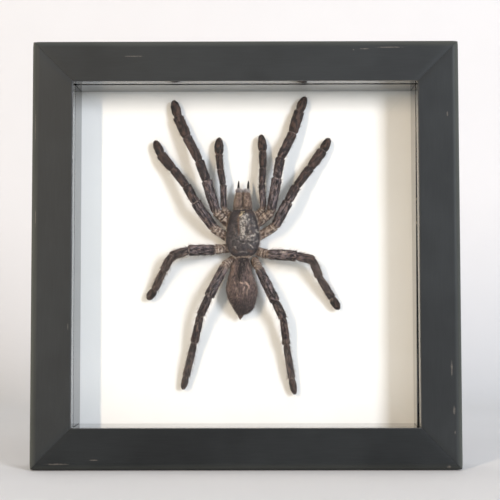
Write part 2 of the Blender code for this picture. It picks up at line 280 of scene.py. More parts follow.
def hairs(name, roots, ways, lengths, widths, bends, finish):
    # tapered strands: a three sided root, a bent middle and a point
    count = len(roots)
    ways = unit(ways)
    helper = unit(np.cross(ways, rng.normal(size=(count, 3))))
    other = np.cross(ways, helper)
    turns = np.arange(3) * 2 * math.pi / 3
    cosines, sines = np.cos(turns)[None, :, None], np.sin(turns)[None, :, None]
    around = helper[:, None] * cosines + other[:, None] * sines
    lengths = lengths[:, None]
    widths = widths[:, None, None]
    foot = roots - ways * strand["sunk"]
    middle = roots + ways * lengths * strand["bendAt"]
    tip = roots + ways * lengths + bends * lengths
    lowRing = foot[:, None] + around * widths
    midRing = middle[:, None] + around * widths * strand["bendWidth"]
    rings = np.concatenate([lowRing, midRing, tip[:, None]], axis=1)
    base = np.arange(count)[:, None, None] * 7
    pattern = [(0, 2, 1)]
    for j in range(3):
        k = (j + 1) % 3
        pattern += [(j, k, k + 3), (j, k + 3, j + 3), (j + 3, k + 3, 6)]
    faces = (np.array(pattern)[None] + base).reshape(-1, 3)
    mesh = bpy.data.meshes.new(name)
    mesh.from_pydata((rings.reshape(-1, 3) * mm).tolist(), [], faces.tolist())
    grain, seed, strength = strand["clumps"]
    clumps = 0.5 + rough(roots, grain, seed) * strength
    tone = np.repeat(np.clip(clumps + rng.uniform(-1, 1, count) * strand["scatter"], 0, 1), 7)
    rise = np.tile([0.0] * 3 + [strand["bendAt"]] * 3 + [1.0], count)
    storeMarks(mesh, {"tone": tone, "rise": rise})
    addPiece(name, mesh, finish, smooth=False)


def coat(amount, lean, length, width, scatter=0.14, droop=0.12, curl=0.04, along=1.0, sweep=0.0):
    # hairs lean out from the skin by a share of their way along it, and are scattered; their tips
    # droop towards the skin, curl at random and sweep along
    return {
        "amount": amount, "lean": lean, "length": length, "width": width, "scatter": scatter,
        "droop": droop, "curl": curl, "along": along, "sweep": sweep,
    }


print("helpers ready")


cameraSetup = {
    "aside": 5.6,  # millimetres right of the frame's middle
    "height": 84.1,  # above the surface that the frame stands on
    "distance": 650.0,  # in front of the moulding
    "tiltUp": 3.18,  # degrees
    "turnLeft": 0.28,
    "roll": -0.09,
    "lens": 85.3,
}


def makeCamera(setup):
    data = bpy.data.cameras.new("camera")
    data.lens = setup["lens"]
    data.sensor_width = 36
    data.clip_start = 0.01
    camera = bpy.data.objects.new("camera", data)
    bpy.context.scene.collection.objects.link(camera)
    turn = Matrix.Rotation(math.radians(setup["turnLeft"]), 4, "Z")
    tilt = Matrix.Rotation(math.radians(90 + setup["tiltUp"]), 4, "X")
    roll = Matrix.Rotation(math.radians(setup["roll"]), 4, "Z")
    spot = Vector((setup["aside"], frameFront - setup["distance"], setup["height"])) * mm
    camera.matrix_world = Matrix.Translation(spot) @ turn @ tilt @ roll
    bpy.context.scene.camera = camera


makeCamera(cameraSetup)
print("camera set")


moulding = {
    "faceWidth": 23.0,
    "rebate": 6.6,
    "lip": 7.5,
    "outerRadius": 4.0,
    "innerRadius": 0.6,
    "backChamfers": (0.5, 0.6),  # at the rebate and at the outside
    "mitreBevel": 0.22,
    "mitreGap": 0.04,
    "sections": 90,
    "dark": tint(28, 30, 31),
    "light": tint(39, 42, 43),
    # how much each rail shines, and how strongly its outer rounding is lightened: worn paint and a painted
    # highlight, strongest on the left rail
    "gloss": {"top": 0.22, "right": 0.22, "bottom": 0.10, "left": 0.30},
    "wear": {"top": 0.35, "right": 0.5, "bottom": 0.2, "left": 0.6},
    # light tint of the outer rounding: worn paint and a painted highlight
    "rubbed": tint(104, 108, 100),
    # lighter grey on the lip's inner face: a painted reflection of the card, over its real gloss
    "lipTint": tint(98, 98, 96),
    "bare": tint(128, 122, 114),
    # waves and dents in the painted face: grain, seed and height
    "dents": ((9.0, 3.0, 0.03), (2.4, 8.0, 0.018)),
    "dentsFade": (17.0, 21.0),  # distances in from the outer edge
    # worn spots, from the frame's middle: across, up, half length, half height
    "scuffs": {
        "top": [
            (80, 114.2, 7, 0.35), (66, 113.4, 2.5, 0.3), (60, 112.9, 0.4, 0.4), (-62, 109.5, 5, 0.3),
        ],
        "right": [(111.6, 77, 0.4, 1.4), (112.5, -63, 0.5, 4), (113.6, -86, 0.6, 2.5), (114.0, -98, 0.4, 1)],
        "bottom": [(-103, -115, 6, 0.4), (-83, -112.8, 2.5, 0.3), (110.6, -116.6, 1.1, 0.8)],
        "left": [(-116.2, 70, 0.3, 9), (-115.8, 20, 0.3, 5), (-97.5, -40, 0.25, 2)],
    },
}


def paintFinish(side, make):
    f = Finish("charcoal paint " + side)
    across = side in ("top", "bottom")
    grainStretch = (24, 1, 1) if across else (1, 1, 24)
    x, y, z = f.axes()
    up = z - frameHalf
    grain = f.cloud(0.55, grainStretch, 4.0, 0.6)
    drift = f.cloud(38, (1, 1, 1), 2.0)
    speck = f.cloud(0.35, (1, 1, 1), 2.0)
    edge = x.size().most(up.size())
    wander = (f.cloud(5.0, grainStretch) - 0.5) * 2.4
    # the outer rounding, lightened by worn paint and a painted highlight
    wornAndLitEdge = f.step(edge + wander, frameHalf - 4.4, frameHalf + 0.2)
    sight = frameHalf - make["faceWidth"]
    lipFace = 1 - f.step(edge, sight + 0.05, sight + 0.5)
    scuffed = None
    ragged = (f.cloud(1.2, (1, 1, 1), 4.0, 0.7) - 0.5) * 3.0
    for spotX, spotZ, halfX, halfZ in make["scuffs"][side]:
        far = ((x - spotX) / halfX) ** 2.0 + ((up - spotZ) / halfZ) ** 2.0
        one = 1 - f.step(far + ragged, 0.1, 1.4)
        scuffed = one if scuffed is None else scuffed.most(one)
    front = f.step(y, frameFront + 6, frameFront + 3)
    scuffed = scuffed * front * f.step(speck, 0.36, 0.52)
    shade = f.step(grain, 0.3, 0.72) * 0.35 + f.step(drift, 0.35, 0.7) * 0.55
    colour = f.mix(shade, make["dark"], make["light"])
    # painted highlight and worn paint on the outer rounding, more on the left
    colour = f.mix(wornAndLitEdge * make["wear"][side], colour, make["rubbed"])
    # painted reflection on the lip's inner face
    colour = f.mix(lipFace * 0.45, colour, make["lipTint"])
    colour = f.mix(scuffed * 0.45, colour, make["bare"])
    height = grain * 0.35 + speck * 0.3 - scuffed * 0.5
    return f.body(
        Base_Color=colour,
        Roughness=(0.46 + grain * 0.12 + scuffed * 0.15) * (1 - lipFace * 0.85),
        Normal=f.bump(height * (1 - lipFace * 0.9), 0.03, 0.7),
        Specular_IOR_Level=make["gloss"][side],
        Specular_Tint=(0.92, 1.0, 1.0, 1.0),
        Coat_Weight=lipFace,
        Coat_Roughness=0.07,
    )


def mouldingOutline(make, inset=0.0):  # distance in from the outer edge, distance back, going round
    outline = []
    radius = make["outerRadius"] - inset
    for i in range(13):
        angle = math.pi / 2 * i / 12
        outline.append((inset + radius * (1 - math.cos(angle)), inset + radius * (1 - math.sin(angle))))
    inner = make["faceWidth"] - inset * 0.25
    soft = make["innerRadius"]
    # the long face is in strips so that it can carry small dents
    for share in (0.03, 0.25, 0.5, 0.75, 0.97):
        outline.append((outline[12][0] + (inner - soft - outline[12][0]) * share, inset))
    for i in range(5):
        angle = math.pi / 2 * i / 4
        outline.append((inner - soft * (1 - math.sin(angle)), inset + soft * (1 - math.cos(angle))))
    wall = make["faceWidth"] - make["rebate"] - inset
    depth = frameBack - frameFront
    rebateChamfer, outerChamfer = make["backChamfers"]
    outline.append((inner, make["lip"] - inset))
    outline.append((wall, make["lip"] - inset))
    outline.append((wall, depth - rebateChamfer))
    outline.append((wall - rebateChamfer, depth - inset))
    outline.append((inset + outerChamfer, depth - inset))
    outline.append((inset, depth - outerChamfer))
    outline.append((inset, depth - outerChamfer - 0.8))
    outline.append((inset, make["outerRadius"] + 0.8))
    return np.array(outline)


def makeRail(side, quarter, make):
    bevel = make["mitreBevel"]
    plain = mouldingOutline(make)
    pinched = mouldingOutline(make, bevel)
    rings = []
    spans = np.linspace(-1, 1, make["sections"])
    for k, span in enumerate(spans):
        last = k in (0, len(spans) - 1)
        outline = pinched if last else plain
        reach = frameHalf - outline[:, 0] - make["mitreGap"]
        pull = 0 if last else bevel
        along = span * (reach - pull)
        rings.append(np.stack([along, outline[:, 1] + frameFront, outline[:, 0] - frameHalf], axis=-1))
    rings = np.array(rings)
    face = ease(-rings[..., 1], -frameFront - 4.4, -frameFront)
    dents = sum(rough(rings, grain, seed + quarter) * height for grain, seed, height in make["dents"])
    flat = 1 - ease(rings[..., 2] + frameHalf, *make["dentsFade"])
    rings[..., 1] += (dents * flat + 0.03) * face  # the painted face is not quite flat
    angle = -quarter * math.pi / 2
    x, z = rings[..., 0].copy(), rings[..., 2].copy()
    rings[..., 0] = x * math.cos(angle) - z * math.sin(angle)
    rings[..., 2] = x * math.sin(angle) + z * math.cos(angle) + frameHalf
    mesh = skin("rail_" + side, rings)
    addPiece("moulding_" + side, mesh, paintFinish(side, make), ("rail_" + side,))
    mesh.set_sharp_from_angle(angle=math.radians(42))


for quarter, side in enumerate(("bottom", "left", "top", "right")):
    makeRail(side, quarter, moulding)
print("moulding done")


def easedBlock(low, high, radius, hold=0.4):
    # block with rounded edges; a strip next to each edge keeps the flats flat
    low, high = np.array(low, dtype=float), np.array(high, dtype=float)
    outline = []
    for cornerX, cornerZ, start in ((1, 1, 0), (-1, 1, 90), (-1, -1, 180), (1, -1, 270)):
        for i in range(6):
            turn = math.radians(start + 30 * min(max(i - 1, 0), 3))
            slide = hold * (-1 if i == 0 else 1 if i == 5 else 0)
            shift = (-math.sin(turn) * slide, math.cos(turn) * slide)
            outline.append((cornerX, cornerZ, math.cos(turn), math.sin(turn), shift))
    middle = (low + high) / 2
    half = (high - low) / 2
    depth = half[1]
    sections = [(-depth, radius + hold)]
    for i in range(4):
        angle = math.radians(30 * i)
        sections.append((-depth + radius * (1 - math.cos(angle)), radius * (1 - math.sin(angle))))
    sections.append((-depth + radius + hold, 0))
    sections += [(-y, inset) for y, inset in reversed(sections)]
    rings = []
    for y, inset in sections:
        ring = []
        for cornerX, cornerZ, cosine, sine, shift in outline:
            reach = radius - inset
            x = cornerX * (half[0] - radius) + cosine * reach + shift[0]
            z = cornerZ * (half[2] - radius) + sine * reach + shift[1]
            ring.append((middle[0] + x, middle[1] + y, middle[2] + z))
        rings.append(ring)
    return np.array(rings)


def nodeCorners(node):
    low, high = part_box(node)
    return np.array(low) / mm, np.array(high) / mm


glass = {
    "edge": 0.25,
    "clear": (0.985, 0.995, 0.99, 1),
    "ior": 1.45,
    "shine": 0.35,
    "smear": 0.2,  # added where it was last wiped
}


def glassFinish(make):
    f = Finish("picture glass")
    clear = f.add("BsdfTransparent", None, {"Color": make["clear"]})
    shine = f.add("BsdfGlossy", None, {"Color": (1, 1, 1, 1), "Roughness": 0.03})
    mirror = f.add("Fresnel", None, {"IOR": make["ior"]})
    smear = f.cloud(22, (1, 1, 2.5), 3.0)
    share = mirror * (make["shine"] + f.step(smear, 0.35, 0.7) * make["smear"])
    return f.end(f.add("MixShader", None, {0: share, 1: clear, 2: shine}))


strips = {
    "edge": 0.3,
    "endFit": 0.25,
    # how far each strip's inner face moves from upright: at its front and back edge, then the same
    # two per millimetre up the frame
    "lean": {
        "left": (-0.75, 0.4, 0.0, 0.0),
        "bottom": (-0.35, 0.0, 0.0, 0.0),
        "top": (0.55, 0.0, 0.0, 0.0),
        "right": (-0.2, -0.15, 0.0042, -0.0016),
    },
    "black": tint(18, 18, 19),
    "dust": tint(120, 118, 114),
}


def glossStripFinish(make):
    f = Finish("glossy black strip")
    wave = f.cloud(30, (1, 3, 1), 1.0)
    dust = f.step(f.cloud(0.5, (1, 1, 1), 2.0), 0.62, 0.74)
    colour = f.mix(dust * 0.10, make["black"], make["dust"])
    dull = 0.06 + f.step(f.cloud(7, (1, 1, 1)), 0.3, 0.8) * 0.05 + dust * 0.1
    wavy = f.bump(wave, 0.012, 0.4)
    return f.body(Base_Color=colour, Roughness=dull, Normal=wavy, Coat_Weight=1.0, Coat_Roughness=0.04)


card = {"white": tint(240, 240, 238), "shade": tint(233, 233, 230)}


def cardFinish(make):
    f = Finish("white mount card")
    pulp = f.cloud(0.8, (1, 1, 1), 4.0, 0.65)
    drift = f.cloud(60, (1, 1, 1), 2.0)
    colour = f.mix(f.step(drift, 0.3, 0.75) * 0.6 + pulp * 0.2, make["white"], make["shade"])
    return f.body(Base_Color=colour, Roughness=0.78 + pulp * 0.1, Normal=f.bump(pulp, 0.05, 0.5))


fibreboard = {
    "dark": tint(112, 80, 54),
    "light": tint(150, 114, 80),
    "chip": tint(78, 54, 38),
    "stain": tint(96, 70, 50),
}


def fibreboardFinish(make):
    f = Finish("brown fibreboard")
    fibre = f.cloud(0.9, (2.5, 1, 1), 5.0, 0.7)
    fleck = f.step(f.cells(1.3, (3, 1, 1)), 0.02, 0.20)
    drift = f.cloud(45, (1, 1, 1), 3.0)
    colour = f.mix(f.step(fibre, 0.3, 0.7), make["dark"], make["light"])
    colour = f.mix((1 - fleck) * 0.45, colour, make["chip"])
    colour = f.mix(f.step(drift, 0.4, 0.75) * 0.25, colour, make["stain"])
    return f.body(Base_Color=colour, Roughness=0.62 + fibre * 0.2, Normal=f.bump(fibre, 0.12, 0.6))


zinc = {"bright": tint(196, 198, 200), "dull": tint(168, 170, 172), "tarnish": tint(128, 112, 92)}


def steelFinish(make):
    f = Finish("zinc plated steel")
    spangle = f.cells(2.2)
    brush = f.cloud(0.3, (14, 1, 1), 3.0)
    tarnish = f.step(f.cloud(4.0, (1, 1, 1), 4.0), 0.55, 0.75)
    colour = f.mix(f.step(spangle, 0.1, 0.6), make["bright"], make["dull"])
    colour = f.mix(tarnish * 0.4, colour, make["tarnish"])
    dull = 0.26 + brush * 0.14 + tarnish * 0.2
    return f.body(Base_Color=colour, Metallic=1.0, Roughness=dull, Normal=f.bump(brush, 0.03, 0.6))


def makePane(make):
    low, high = nodeCorners("glass_pane")
    mesh = skin("pane", easedBlock(low, high, make["edge"]))
    addPiece("pane", mesh, glassFinish(make), ("glass_pane",))
    mesh.set_sharp_from_angle(angle=math.radians(50))


def makeStrip(side, make, finish):
    low, high = nodeCorners("spacer_" + side)
    lean = make["lean"][side]
    rings = easedBlock(low, high, make["edge"])
    middle = (low + high) / 2
    axis = 0 if side in ("left", "right") else 2
    outward = 1 if middle[axis] > (frameHalf if axis == 2 else 0) else -1
    inner = (middle[axis] - rings[..., axis]) * outward > 0
    back = (rings[..., 1] - low[1]) / (high[1] - low[1])
    up = rings[..., 2] - frameHalf
    shift = (lean[0] + lean[2] * up) * (1 - back) + (lean[1] + lean[3] * up) * back
    rings[..., axis] += shift * inner
    if axis == 0:  # the side strips' ends follow the slope of the top and bottom ones
        slope = np.where(up > 0, make["lean"]["top"][0], -make["lean"]["bottom"][0])
        rings[..., 2] += np.sign(up) * (slope * (1 - back) + make["endFit"])
    mesh = skin("strip_" + side, rings)
    addPiece("strip_" + side, mesh, finish, ("spacer_" + side,))
    mesh.set_sharp_from_angle(angle=math.radians(50))


def dressNode(node, finish):
    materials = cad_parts[node].data.materials
    materials.clear()
    materials.append(finish)


makePane(glass)
glossStrip = glossStripFinish(strips)
for side in ("top", "bottom", "left", "right"):
    makeStrip(side, strips, glossStrip)
steel = steelFinish(zinc)
dressNode("backing_card", cardFinish(card))
dressNode("back_board", fibreboardFinish(fibreboard))
for node in ("sawtooth_hanger", "hanger_rivet_left", "hanger_rivet_right"):
    dressNode(node, steel)


tabShape = {
    "cornerRadius": 1.6,
    "lift": 0.9,  # how far the free end springs off the board
    "rib": 0.22,
    "steps": 12,
    # a tab's cross-section: share of the half width, share of the thickness
    "section": (
        (-1, 0), (-0.5, 0), (0, 0), (0.5, 0), (1, 0), (1, 1), (0.5, 1), (0, 1), (-0.5, 1), (-1, 1),
    ),
}


def makeTab(node, make):  # flexible tab with a rounded free end
    low, high = nodeCorners(node)
    middle = (low + high) / 2
    size = high - low
    upright = size[2] < size[0]
    fromCentre = middle[2] - frameHalf if upright else middle[0]
    inward = -math.copysign(1, fromCentre)
    reach = size[2] if upright else size[0]
    halfWidth = (size[0] if upright else size[2]) / 2
    rings = []
    for i in range(make["steps"] + 1):
        share = i / make["steps"]
        along = reach * share
        gap = max(0.0, along - (reach - make["cornerRadius"]))
        narrow = make["cornerRadius"] - math.sqrt(max(make["cornerRadius"] ** 2 - gap ** 2, 0.0))
        half = halfWidth - narrow
        rise = make["lift"] * ease(share, 0.25, 1.0) ** 1.5
        ring = []
        ribbed = make["rib"] * ease(share, 0.3, 0.5) * (1 - ease(share, 0.85, 1.0))
        for u, v in make["section"]:
            rib = ribbed * math.exp(-(u / 0.3) ** 2)
            depth = low[1] + size[1] * v + rise + rib
            side = half * u
            if upright:
                start = low[2] if inward > 0 else high[2]
                ring.append((middle[0] + side, depth, start + inward * along))
            else:
                start = low[0] if inward > 0 else high[0]
                ring.append((start + inward * along, depth, middle[2] + side))
        rings.append(ring)
    mesh = skin(node, np.array(rings))
    addPiece("tab_" + node.replace("retaining_tab_", ""), mesh, steel, (node,))
    mesh.set_sharp_from_angle(angle=math.radians(40))


for node in sorted(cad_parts):
    if node.startswith("retaining_tab"):
        makeTab(node, tabShape)
print("boards, strips and glass done")


spiderTints = {
    "legDark": tint(24, 20, 22),
    "legBrown": tint(62, 51, 54),
    "legRust": tint(42, 25, 21),
    "legGrey": tint(122, 113, 117),
    "legFleck": tint(140, 120, 112),
    "pad": tint(26, 21, 18),
    "padFleck": tint(84, 62, 52),
    "membrane": tint(176, 158, 150),
    "coxa": tint(126, 106, 94),
    "coxaPale": tint(196, 182, 168),
    "coxaDark": tint(38, 29, 26),
    "shieldDark": tint(27, 23, 25),
    "shieldBrown": tint(60, 51, 53),
    "shieldWorn": tint(174, 166, 156),
    "shieldRust": tint(116, 84, 62),
    "eyeCream": tint(226, 208, 170),
    "belly": tint(82, 68, 69),
    "bellyDark": tint(20, 18, 21),
    "bellySlate": tint(50, 48, 54),
    "bellyGold": tint(146, 124, 115),
    "bellyPale": tint(214, 184, 166),
    "jaw": tint(134, 114, 98),
    "jawPink": tint(98, 76, 72),
    "jawDark": tint(36, 27, 25),
    "claw": tint(12, 10, 10),
    "clawRidge": tint(30, 22, 20),
    "eyePale": tint(222, 208, 176),
    "eyeAmber": tint(150, 120, 84),
    "hairDark": tint(26, 21, 21),
    "hairBrown": tint(58, 39, 36),
    "hairPale": tint(196, 178, 162),
    "hairGrey": tint(196, 192, 190),
}


def legFinish(name, paint):
    f = Finish(name)
    # lift is 1 where the limb faces up off the card; it paints a sheen on the top
    lift = f.mark("lift")
    nap = f.mark("nap")
    mottle = f.cloud(1.3, (1, 1, 1), 4.0, 0.6)
    fine = f.cloud(0.6, (1, 1, 1.4), 3.0, 0.65)
    fuzz = f.cloud(0.16, (1, 1, 3), 2.0, 0.7)
    patch = f.cloud(3.4, (1, 1, 1), 2.0)
    worn = nap * 0.5 + mottle * 0.5
    far = f.mark("far")
    near = 1 - far * 0.75
    brown = f.mix(far, paint["legBrown"], paint["legRust"])
    colour = f.mix(f.step(worn, 0.43, 0.57), paint["legDark"], brown)
    # grey patches on the top of the limb: a painted sheen of the hair
    paintedTopSheen = f.step(patch, 0.46, 0.62) * f.step(nap, 0.38, 0.62) * lift * near * 0.85
    colour = f.mix(paintedTopSheen, colour, paint["legGrey"])
    colour = f.mix(f.mark("stripe") * f.step(fine, 0.40, 0.56) * near * 0.7, colour, paint["legGrey"])
    fleck = f.mix(far * 0.6, paint["legFleck"], paint["padFleck"])
    # pale flecks, much stronger on the top: partly a painted sheen
    colour = f.mix(f.step(fine * 0.6 + nap * 0.4, 0.55, 0.61) * (0.12 + lift * 0.5), colour, fleck)
    padded = f.mix(f.step(fine * 0.5 + nap * 0.5, 0.45, 0.58) * 0.8, paint["pad"], paint["padFleck"])
    colour = f.mix(f.mark("pad") * 0.85, colour, padded)
    shade = f.mix(f.step(nap * 0.7 + mottle * 0.3, 0.52, 0.38) * 0.65, paint["coxa"], paint["coxaDark"])
    shade = f.mix(f.step(fine * 0.4 + nap * 0.6, 0.56, 0.66) * 0.5, shade, paint["coxaPale"])
    shade = f.mix(f.mark("dark") * 0.85, shade, paint["coxaDark"])
    shade = f.mix(f.mark("pale") * f.step(fine, 0.34, 0.52), shade, paint["coxaPale"])
    colour = f.mix(f.mark("base"), colour, shade)
    rim = f.mark("joint") * f.step(fine, 0.44, 0.58) * f.step(patch, 0.44, 0.56) * 0.7
    colour = f.mix(rim, colour, paint["membrane"])
    colour = f.mix(f.mark("rubbed") * f.step(fine, 0.36, 0.52), colour, paint["coxaPale"])
    return f.body(
        Base_Color=colour,
        Roughness=0.48 + fuzz * 0.25,
        Specular_IOR_Level=0.28,
        Normal=f.bump(fuzz * 0.3 + fine * 0.8 + mottle * 0.8 + nap * 0.9, 0.28, 0.9),
        Sheen_Weight=0.02,
        Sheen_Roughness=0.4,
        Sheen_Tint=(0.8, 0.76, 0.74, 1),
    )


def shieldFinish(paint):
    f = Finish("carapace")
    mottle = f.cloud(1.3, (1, 1, 1), 5.0, 0.65)
    fleck = f.cloud(0.5, (1, 1, 1), 3.0, 0.6)
    patch = f.cloud(3.6, (1, 1, 1), 3.0)
    colour = f.mix(f.step(mottle, 0.40, 0.60) * 0.8, paint["shieldDark"], paint["shieldBrown"])
    colour = f.mix(f.step(patch, 0.54, 0.68) * 0.18, colour, paint["shieldRust"])
    colour = f.mix(f.mark("rust") * f.step(fleck, 0.30, 0.60) * 0.8, colour, paint["shieldRust"])
    ragged = (0.15 + f.step(mottle, 0.40, 0.58) * 0.95) * (0.35 + f.step(fleck, 0.40, 0.58) * 0.8)
    bare = f.mark("worn") * ragged
    colour = f.mix(bare.least(0.95), colour, paint["shieldWorn"])
    colour = f.mix(f.step(fleck, 0.58, 0.66) * 0.22, colour, paint["legGrey"])
    colour = f.mix(f.mark("groove") * 0.9, colour, paint["shieldDark"])
    colour = f.mix(f.mark("cream") * f.step(fleck, 0.25, 0.50), colour, paint["eyeCream"])
    return f.body(
        Base_Color=colour,
        Roughness=0.42 + fleck * 0.25,
        Normal=f.bump(mottle * 0.9 + fleck * 0.5, 0.32, 0.9),
        Sheen_Weight=0.05,
        Sheen_Roughness=0.5,
        Sheen_Tint=(0.8, 0.78, 0.72, 1),
    )


def bellyFinish(paint):
    f = Finish("abdomen skin")
    nap = f.cloud(0.40, (1, 1, 9), 3.0, 0.7)
    streak = f.cloud(0.8, (1, 1, 7), 3.0, 0.6)
    mottle = f.cloud(1.8, (1, 1, 1.6), 4.0, 0.6)
    colour = f.mix(f.step(streak, 0.42, 0.60) * 0.9, paint["bellyDark"], paint["belly"])
    colour = f.mix(f.step(mottle, 0.48, 0.62) * 0.5, colour, paint["belly"])
    colour = f.mix(f.step(nap, 0.50, 0.62) * 0.65, colour, paint["bellyGold"])
    colour = f.mix(f.mark("gold") * f.step(streak, 0.40, 0.58) * 0.6, colour, paint["bellyGold"])
    colour = f.mix(f.mark("heart") * f.step(mottle, 0.28, 0.46) * 0.92, colour, paint["bellyDark"])
    colour = f.mix(f.mark("tail") * f.step(nap, 0.72, 0.40) * 0.95, colour, paint["bellySlate"])
    colour = f.mix(f.mark("tuft") * f.step(nap, 0.34, 0.54), colour, paint["bellyPale"])
    return f.body(
        Base_Color=colour,
        Roughness=0.52 + nap * 0.25,
        Specular_IOR_Level=0.28,
        Normal=f.bump(nap * 0.7 + streak * 0.8, 0.30, 0.9),
        Sheen_Weight=0.03,
        Sheen_Roughness=0.5,
        Sheen_Tint=(0.85, 0.76, 0.7, 1),
    )


def jawFinish(paint):
    f = Finish("jaw hide")
    nap = f.cloud(0.42, (1, 1, 8), 3.0, 0.7)
    mottle = f.cloud(1.4, (1, 1, 2), 3.0)
    colour = f.mix(f.step(mottle, 0.42, 0.60) * 0.85, paint["jaw"], paint["jawPink"])
    colour = f.mix(f.step(nap, 0.46, 0.58) * 0.7, colour, paint["jawDark"])
    # the jaws' inner and outer faces are painted darker, a painted shade; the spinnerets get an even darker
    # tone from it
    colour = f.mix(f.mark("side") * 0.75, colour, paint["jawDark"])
    # the jaws' root, under the carapace's front edge, is painted dark: a painted shadow
    colour = f.mix(f.mark("foot") * 0.8, colour, paint["jawDark"])
    return f.body(
        Base_Color=colour,
        Roughness=0.48 + nap * 0.25,
        Specular_IOR_Level=0.3,
        Normal=f.bump(nap + mottle * 0.5, 0.28, 0.9),
        Sheen_Weight=0.03,
        Sheen_Roughness=0.5,
        Sheen_Tint=(0.9, 0.8, 0.7, 1),
    )


def clawFinish(paint):
    f = Finish("black claw")
    ridge = f.cloud(0.25, (1, 1, 5), 2.0)
    colour = f.mix(ridge, paint["claw"], paint["clawRidge"])
    return f.body(Base_Color=colour, Roughness=0.2 + ridge * 0.12, Normal=f.bump(ridge, 0.02, 0.5))


def eyeFinish(paint):
    f = Finish("dried eyes")
    cloudiness = f.cloud(0.3, (1, 1, 1), 2.0)
    colour = f.mix(f.step(cloudiness, 0.35, 0.65), paint["eyePale"], paint["eyeAmber"])
    return f.body(Base_Color=colour, Roughness=0.12 + cloudiness * 0.1, Coat_Weight=0.5)


def hairFinish(name, root, tip):
    f = Finish(name)
    tone = f.mark("tone")
    rise = f.mark("rise")
    colour = f.mix(rise * 0.35 + tone * 0.65, root, tip)
    return f.body(Base_Color=colour, Roughness=0.42 + tone * 0.2, Specular_IOR_Level=0.25)


legSkin = legFinish("leg cuticle", spiderTints)
shieldSkin = shieldFinish(spiderTints)
bellySkin = bellyFinish(spiderTints)
jawSkin = jawFinish(spiderTints)
clawHorn = clawFinish(spiderTints)
darkHair = hairFinish("dark hair", spiderTints["legDark"], spiderTints["hairBrown"])
brownHair = hairFinish("brown hair", spiderTints["hairDark"], spiderTints["bellyGold"])
paleHair = hairFinish("pale hair", spiderTints["hairBrown"], spiderTints["hairPale"])
greyHair = hairFinish("grey hair", spiderTints["legGrey"], spiderTints["hairGrey"])
print("finishes ready")


# where the coxa starts (across, up), then length and bearing of each segment, in millimetres and
# degrees clockwise from the head's direction
legSetups = {
    "leg_1_left": (
        (-9.0, 17.2),
        ((10.4, -48), (18.6, -17), (12.0, -20), (16.0, -27), (13.0, -24), (10.2, -15)),
    ),
    "leg_2_left": (
        (-9.6, 9.6),
        ((10.2, -57), (17.8, -35), (10.5, -29), (12.6, -38), (11.4, -40), (9.1, -23)),
    ),
    "leg_3_left": (
        (-9.4, 4.1),
        ((7.6, -97), (15.5, -93), (10.0, -107), (8.9, -150), (12.4, -154), (7.0, -144)),
    ),
    "leg_4_left": (
        (-7.4, -2.4),
        ((5.5, -128), (20.0, -153), (11.4, -155), (16.0, -167), (19.6, -166), (7.7, -166)),
    ),
    "leg_1_right": (
        (5.5, 17.2),
        ((11.0, 52), (19.6, 10), (11.6, 10), (16.3, 26), (13.6, 17), (9.5, 22)),
    ),
    "leg_2_right": (
        (6.0, 10.0),
        ((12.0, 60), (15.9, 28), (9.6, 29), (13.8, 36), (12.4, 36), (8.4, 28)),
    ),
    "leg_3_right": (
        (5.8, 2.4),
        ((6.4, 108), (16.8, 94), (9.4, 104), (10.0, 159), (14.2, 148), (7.6, 148)),
    ),
    "leg_4_right": (
        (4.6, -2.4),
        ((4.9, 152), (22.0, 154), (10.4, 155), (14.8, 173), (19.3, 171), (9.4, 169)),
    ),
}
palpSetups = {
    "pedipalp_left": (
        (-8.4, 22.0),
        ((6.0, -44), (13.6, -1), (8.9, -11), (8.8, -5), (10.1, 0)),
    ),
    "pedipalp_right": (
        (5.0, 22.0),
        ((6.6, 47), (13.9, -3), (8.9, 4), (9.9, 0), (10.1, -5)),
    ),
}
limbMake = {
    "sides": 32,
    "rings": 34,  # in each segment
    "bendReach": 2.4,
    # rings of colour near the root: segment, kind, then place along it and width
    "bands": [
        (0, "pale", [(0.90, 0.05)]),
        (0, "dark", [(1.0, 0.035)]),
        (1, "pale", [(0.34, 0.09), (0.84, 0.07)]),
        (1, "dark", [(0.05, 0.05), (0.60, 0.07), (1.0, 0.04)]),
        (2, "pale", [(0.05, 0.02)]),
        (2, "dark", [(0.01, 0.015)]),
    ],
    "coxaShare": 0.56,  # the rest of the first length is the trochanter
    "legHeights": (4.3, 8.0, 12.4, 10.8, 7.2, 4.6, 3.3),
    "palpHeights": (4.0, 6.0, 8.8, 7.8, 5.4, 3.7),
    # widths of coxa, femur, patella, tibia, metatarsus and tarsus
    "leg_1": (5.4, 5.7, 5.3, 5.2, 5.9, 5.3),
    "leg_2": (5.4, 5.7, 5.2, 4.9, 5.5, 5.1),
    "leg_3": (5.4, 6.0, 5.2, 4.6, 4.2, 4.6),
    "leg_4": (5.2, 5.5, 4.8, 4.4, 4.0, 4.0),
    "pedipalp": (4.0, 3.6, 3.8, 4.1, 5.1),
    "neck": 0.80,
    "rootGirth": 0.86,
    "rubbed": (21.2, 1.4, 1.5, 0.55),  # a bare patch: across, up, half length, half height
    "stripes": (0.42, 0.16),  # the two bare stripes along the top: angle from it, and half width
    "tall": 1.06,  # height of a limb's cross-section beside its width
    "folds": ((2.6, 0.0, 0.10), (0.9, 5.0, 0.06)),  # grain, seed and height
    "pads": {"front": (1.0, 0.8, 0.2), "rear": (1.0, 0.3, 0.0)},  # dark soles, from the last segment back
}
